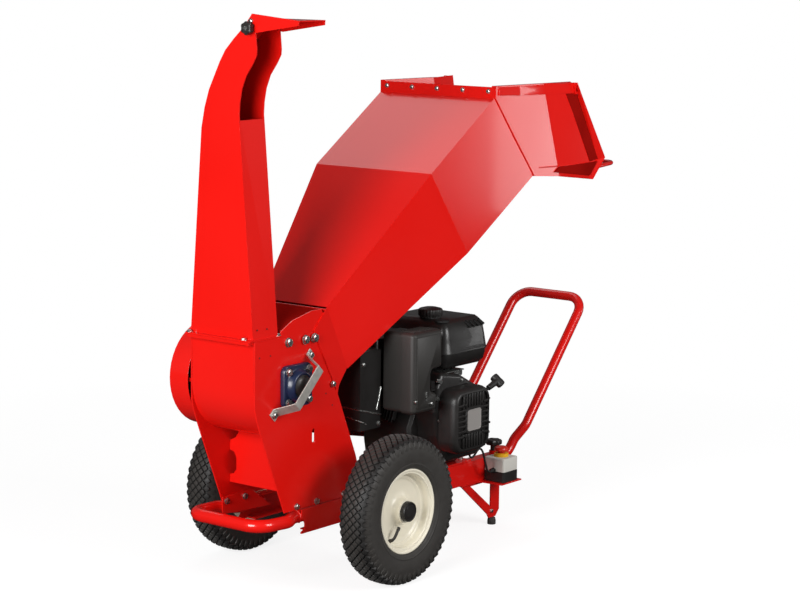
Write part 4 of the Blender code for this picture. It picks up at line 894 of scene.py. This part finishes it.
for node in ("throttle_lever", "choke_lever"):
    skin(node, zinc, 0.0006)
linkage = joined(swept(curved([(0.224, -0.15, 0.49), (0.256, -0.16, 0.496), (0.29, -0.15, 0.5)], 6),
                       0.0016, 10),
                 swept(curved([(0.224, -0.15, 0.45), (0.256, -0.156, 0.442), (0.293, -0.14, 0.45)], 6),
                       0.0014, 10))
make("linkage_rods", linkage, zinc, "frame", sharp=60)
control_plate = joined(
    stacked(rounded(0.35, -0.17, 0.43, -0.13, 0.006, 3), [(0, 0.504), (0, 0.506)]),
    stacked(rounded(0.39, 0.488, 0.426, 0.505, 0.004, 3), [(0, 0.162), (0, 0.164)], upright(-1)))
make("control_plate", control_plate, zinc, "frame", edge=0.0004)
lever_tip = joined(*[stacked(rounded(0.224 + step, 0.479, 0.2275 + step, 0.503, 0.001, 2),
                             [(0, 0.196), (0, 0.208), (0.001, 0.209)], upright(-1))
                     for step in (0, 0.0055, 0.011)],
                   stacked(block(0.223, 0.477, 0.24, 0.48), [(0, 0.195), (0, 0.21)], upright(-1)))
make("choke_tip", lever_tip, black_plastic, "frame", edge=0.0005)
hose = swept(curved([(0.345, -0.12, 0.52), (0.315, -0.135, 0.5165), (0.27, -0.135, 0.505),
                     (0.226, -0.11, 0.495)],
                    8), 0.004, 16)
make("fuel_hose", hose, belt_rubber, "frame", sharp=60)

# Stop switch
# A pale grey moulded box on a black base, on the bracket beside the rail.
# A yellow collar and a red mushroom button are on its top, and a short cable comes from the engine.

# Switch plastics: smooth, half matt moulded shells in pale grey, yellow and red
pale_plastic = material("pale_grey_plastic", "#CFCCC4", Roughness=0.45)
uneven(pale_plastic, 0.0008, 0.00003)
yellow_plastic = material("yellow_collar_plastic", "#F0B51E", Roughness=0.4)
uneven(yellow_plastic, 0.0008, 0.00002)
red_plastic = material("red_button_plastic", "#D92A1C", Roughness=0.3)
uneven(red_plastic, 0.0008, 0.00002)
BOX_LOW_Z = 0.147
box_plan = rounded(0.605, -0.186, 0.675, -0.116, 0.006, 5)
skin_top = stacked(box_plan, [(0, 0.178), (0, 0.214), (0.001, 0.2162), (0.003, 0.217)])
make("switch_box_cover", skin_top, pale_plastic, "frame", joined_on=["switch_box"], sharp=50)
box_base = stacked(box_plan,
                   [(0.001, BOX_LOW_Z), (-0.0006, BOX_LOW_Z + 0.001), (-0.0006, 0.1765), (0.002, 0.1782)])
gland = placed(turned([(0, 0.016), (0.005, 0.016), (0.007, 0.0145), (0.007, 0.006), (0.0085, 0.006),
                       (0.0085, 0)], 32,
                      12, 0.06), aim((0.606, -0.15, 0.18), (-1, 0, 0)))
make("switch_box_base", joined(box_base, gland), black_plastic, "frame", sharp=50)
button_x, button_y, box_top = 0.64, -0.151, 0.217
collar = turned([(0.0103, 0.002), (0.0103, 0.0085), (0.0115, 0.01), (0.0195, 0.01), (0.0212, 0.0085),
                 (0.0214, -0.001), (0.0103, -0.001)], 56)
make("switch_collar", placed(collar, aim((button_x, button_y, box_top))), yellow_plastic, "frame")
mushroom = turned([(0, 0.03), (0.008, 0.0298), (0.014, 0.0288), (0.0182, 0.0262), (0.02, 0.0222),
                   (0.0201, 0.0178),
                   (0.019, 0.0164), (0.0099, 0.0158), (0.0096, -0.002), (0, -0.002)], 56)
make("mushroom_button", placed(mushroom, aim((button_x, button_y, box_top))), red_plastic, "stop",
     joined_on=["stop_button"])
cable_route = [(0.487, -0.15, 0.2488), (0.487, -0.15, 0.243), (0.496, -0.15, 0.237), (0.509, -0.15, 0.241),
               (0.52, -0.15, 0.25), (0.531, -0.15, 0.256), (0.542, -0.15, 0.253), (0.551, -0.15, 0.242),
               (0.557, -0.15, 0.228), (0.562, -0.15, 0.213), (0.568, -0.15, 0.199), (0.575, -0.15, 0.185),
               (0.584, -0.15, 0.18), (0.5926, -0.15, 0.18)]
make("stop_cable_sheath", swept(curved(cable_route, 4), 0.003, 16), belt_rubber, "frame",
     joined_on=["stop_cable"], sharp=60)

# Stands
# Two V-shaped legs cut from 5 mm strip under the bracket, each on a round rubber foot.

for node in ("foot_near", "foot_far"):
    skin(node, rubber, 0.0008)

# Studio
# A plain pale floor under four soft boxes: in front, at the near side, high at the far side and low behind.
# The floor and the background answer the camera with plain white, and the floor keeps the machine's shadow.


def soft_box(name, place, target, width, height, power):
    """A rectangular area light at a place, turned to a target."""
    lamp = bpy.data.lights.new(name, "AREA")
    lamp.shape = "RECTANGLE"
    lamp.size, lamp.size_y = width, height
    lamp.energy = power
    held = bpy.data.objects.new(name, lamp)
    held.location = place
    held.rotation_mode = "QUATERNION"
    held.rotation_quaternion = (Vector(target) - Vector(place)).to_track_quat("-Z", "Y")
    bpy.context.scene.collection.objects.link(held)


soft_box("front_box", (-4.2, -0.7, 1.6), (0, 0, 0.8), 2.0, 2.0, 162)
soft_box("near_box", (0.2, -4.3, 2.3), (0, 0, 0.7), 2.2, 1.8, 118)
soft_box("top_box", (1.15, 1.9, 3.5), (0.1, 0, 1.1), 2.2, 2.2, 20)
soft_box("rear_box", (3.05, -1.95, 0.9), (0, -0.2, 0.9), 0.55, 0.7, 5)

floor_mesh = bpy.data.meshes.new("studio_floor")
floor_mesh.from_pydata([(-40, -40, 0), (40, -40, 0), (40, 40, 0), (-40, 40, 0)], [], [(0, 1, 2, 3)])
floor = bpy.data.objects.new("studio_floor", floor_mesh)
bpy.context.scene.collection.objects.link(floor)
paper = material("white_studio_paper", "#9A9A9A", Roughness=0.9)
tree = paper.node_tree
rays = add(tree, "LightPath")
dim = add(tree, "BsdfDiffuse", {"Color": linear("#2C2C2C")})
answer = add(tree, "MixShader",
             {0: rays.outputs["Is Glossy Ray"], 1: tree.nodes["Principled BSDF"].outputs[0],
                                 2: dim.outputs[0]})
shaded = add(tree, "BsdfDiffuse", {"Color": linear("#8C8C8C")})
glow = add(tree, "Emission", {"Color": (1, 1, 1, 1), "Strength": 0.84})
near_floor = add(tree, "AddShader", {0: shaded.outputs[0], 1: glow.outputs[0]})
far_floor = add(tree, "Emission", {"Color": (1, 1, 1, 1), "Strength": 1.0})
reach = add(tree, "VectorMath", {0: add(tree, "TexCoord").outputs["Object"]},
            operation="LENGTH").outputs["Value"]
away = add(tree, "MapRange", {"Value": reach, "From Min": 1.3, "From Max": 2.6}).outputs[0]
plain = add(tree, "MixShader", {0: away, 1: near_floor.outputs[0], 2: far_floor.outputs[0]})
shown = add(tree, "MixShader", {0: rays.outputs["Is Camera Ray"], 1: answer.outputs[0], 2: plain.outputs[0]})
tree.links.new(shown.outputs[0], tree.nodes["Material Output"].inputs["Surface"])
floor_mesh.materials.append(paper)

world = bpy.data.worlds.new("studio")
bpy.context.scene.world = world
world.use_nodes = True
tree = world.node_tree
tree.nodes.clear()
rays = add(tree, "LightPath")
room = add(tree, "Background", {"Color": (1, 1, 1, 1), "Strength": 0.21})
walls = add(tree, "Background", {"Color": (1, 1, 1, 1), "Strength": 0.1})
white = add(tree, "Background", {"Color": (1, 1, 1, 1), "Strength": 1.0})
answer = add(tree, "MixShader", {0: rays.outputs["Is Glossy Ray"], 1: room.outputs[0], 2: walls.outputs[0]})
mixed = add(tree, "MixShader", {0: rays.outputs["Is Camera Ray"], 1: answer.outputs[0], 2: white.outputs[0]})
add(tree, "OutputWorld", {"Surface": mixed.outputs[0]})

# Camera
# The photograph's own: solved from the wheels, rails and housing, a little to the left and just above.

AZIMUTH, ELEVATION, ROLL = math.radians(-52.0569), math.radians(8.8538), math.radians(0.672)
LENS = 102.024
PLACE = Vector((-4.6069, -3.8637, 1.6707))
level_reach = math.cos(ELEVATION)
back = Vector((math.sin(AZIMUTH) * level_reach, -math.cos(AZIMUTH) * level_reach, math.sin(ELEVATION)))
level = Vector((math.cos(AZIMUTH), math.sin(AZIMUTH), 0.0))
rising = back.cross(level)
camera_right = level * math.cos(ROLL) + rising * math.sin(ROLL)
camera_up = rising * math.cos(ROLL) - level * math.sin(ROLL)
lens = bpy.data.cameras.new("camera")
lens.lens = LENS
lens.sensor_width = 36.0
camera = bpy.data.objects.new("camera", lens)
turned_to = Matrix((camera_right, camera_up, back)).transposed().to_4x4()
camera.matrix_world = Matrix.Translation(PLACE + Vector((AXLE_X, 0, 0))) @ turned_to
bpy.context.scene.collection.objects.link(camera)
bpy.context.scene.camera = camera

bpy.context.scene.view_settings.view_transform = "Standard"
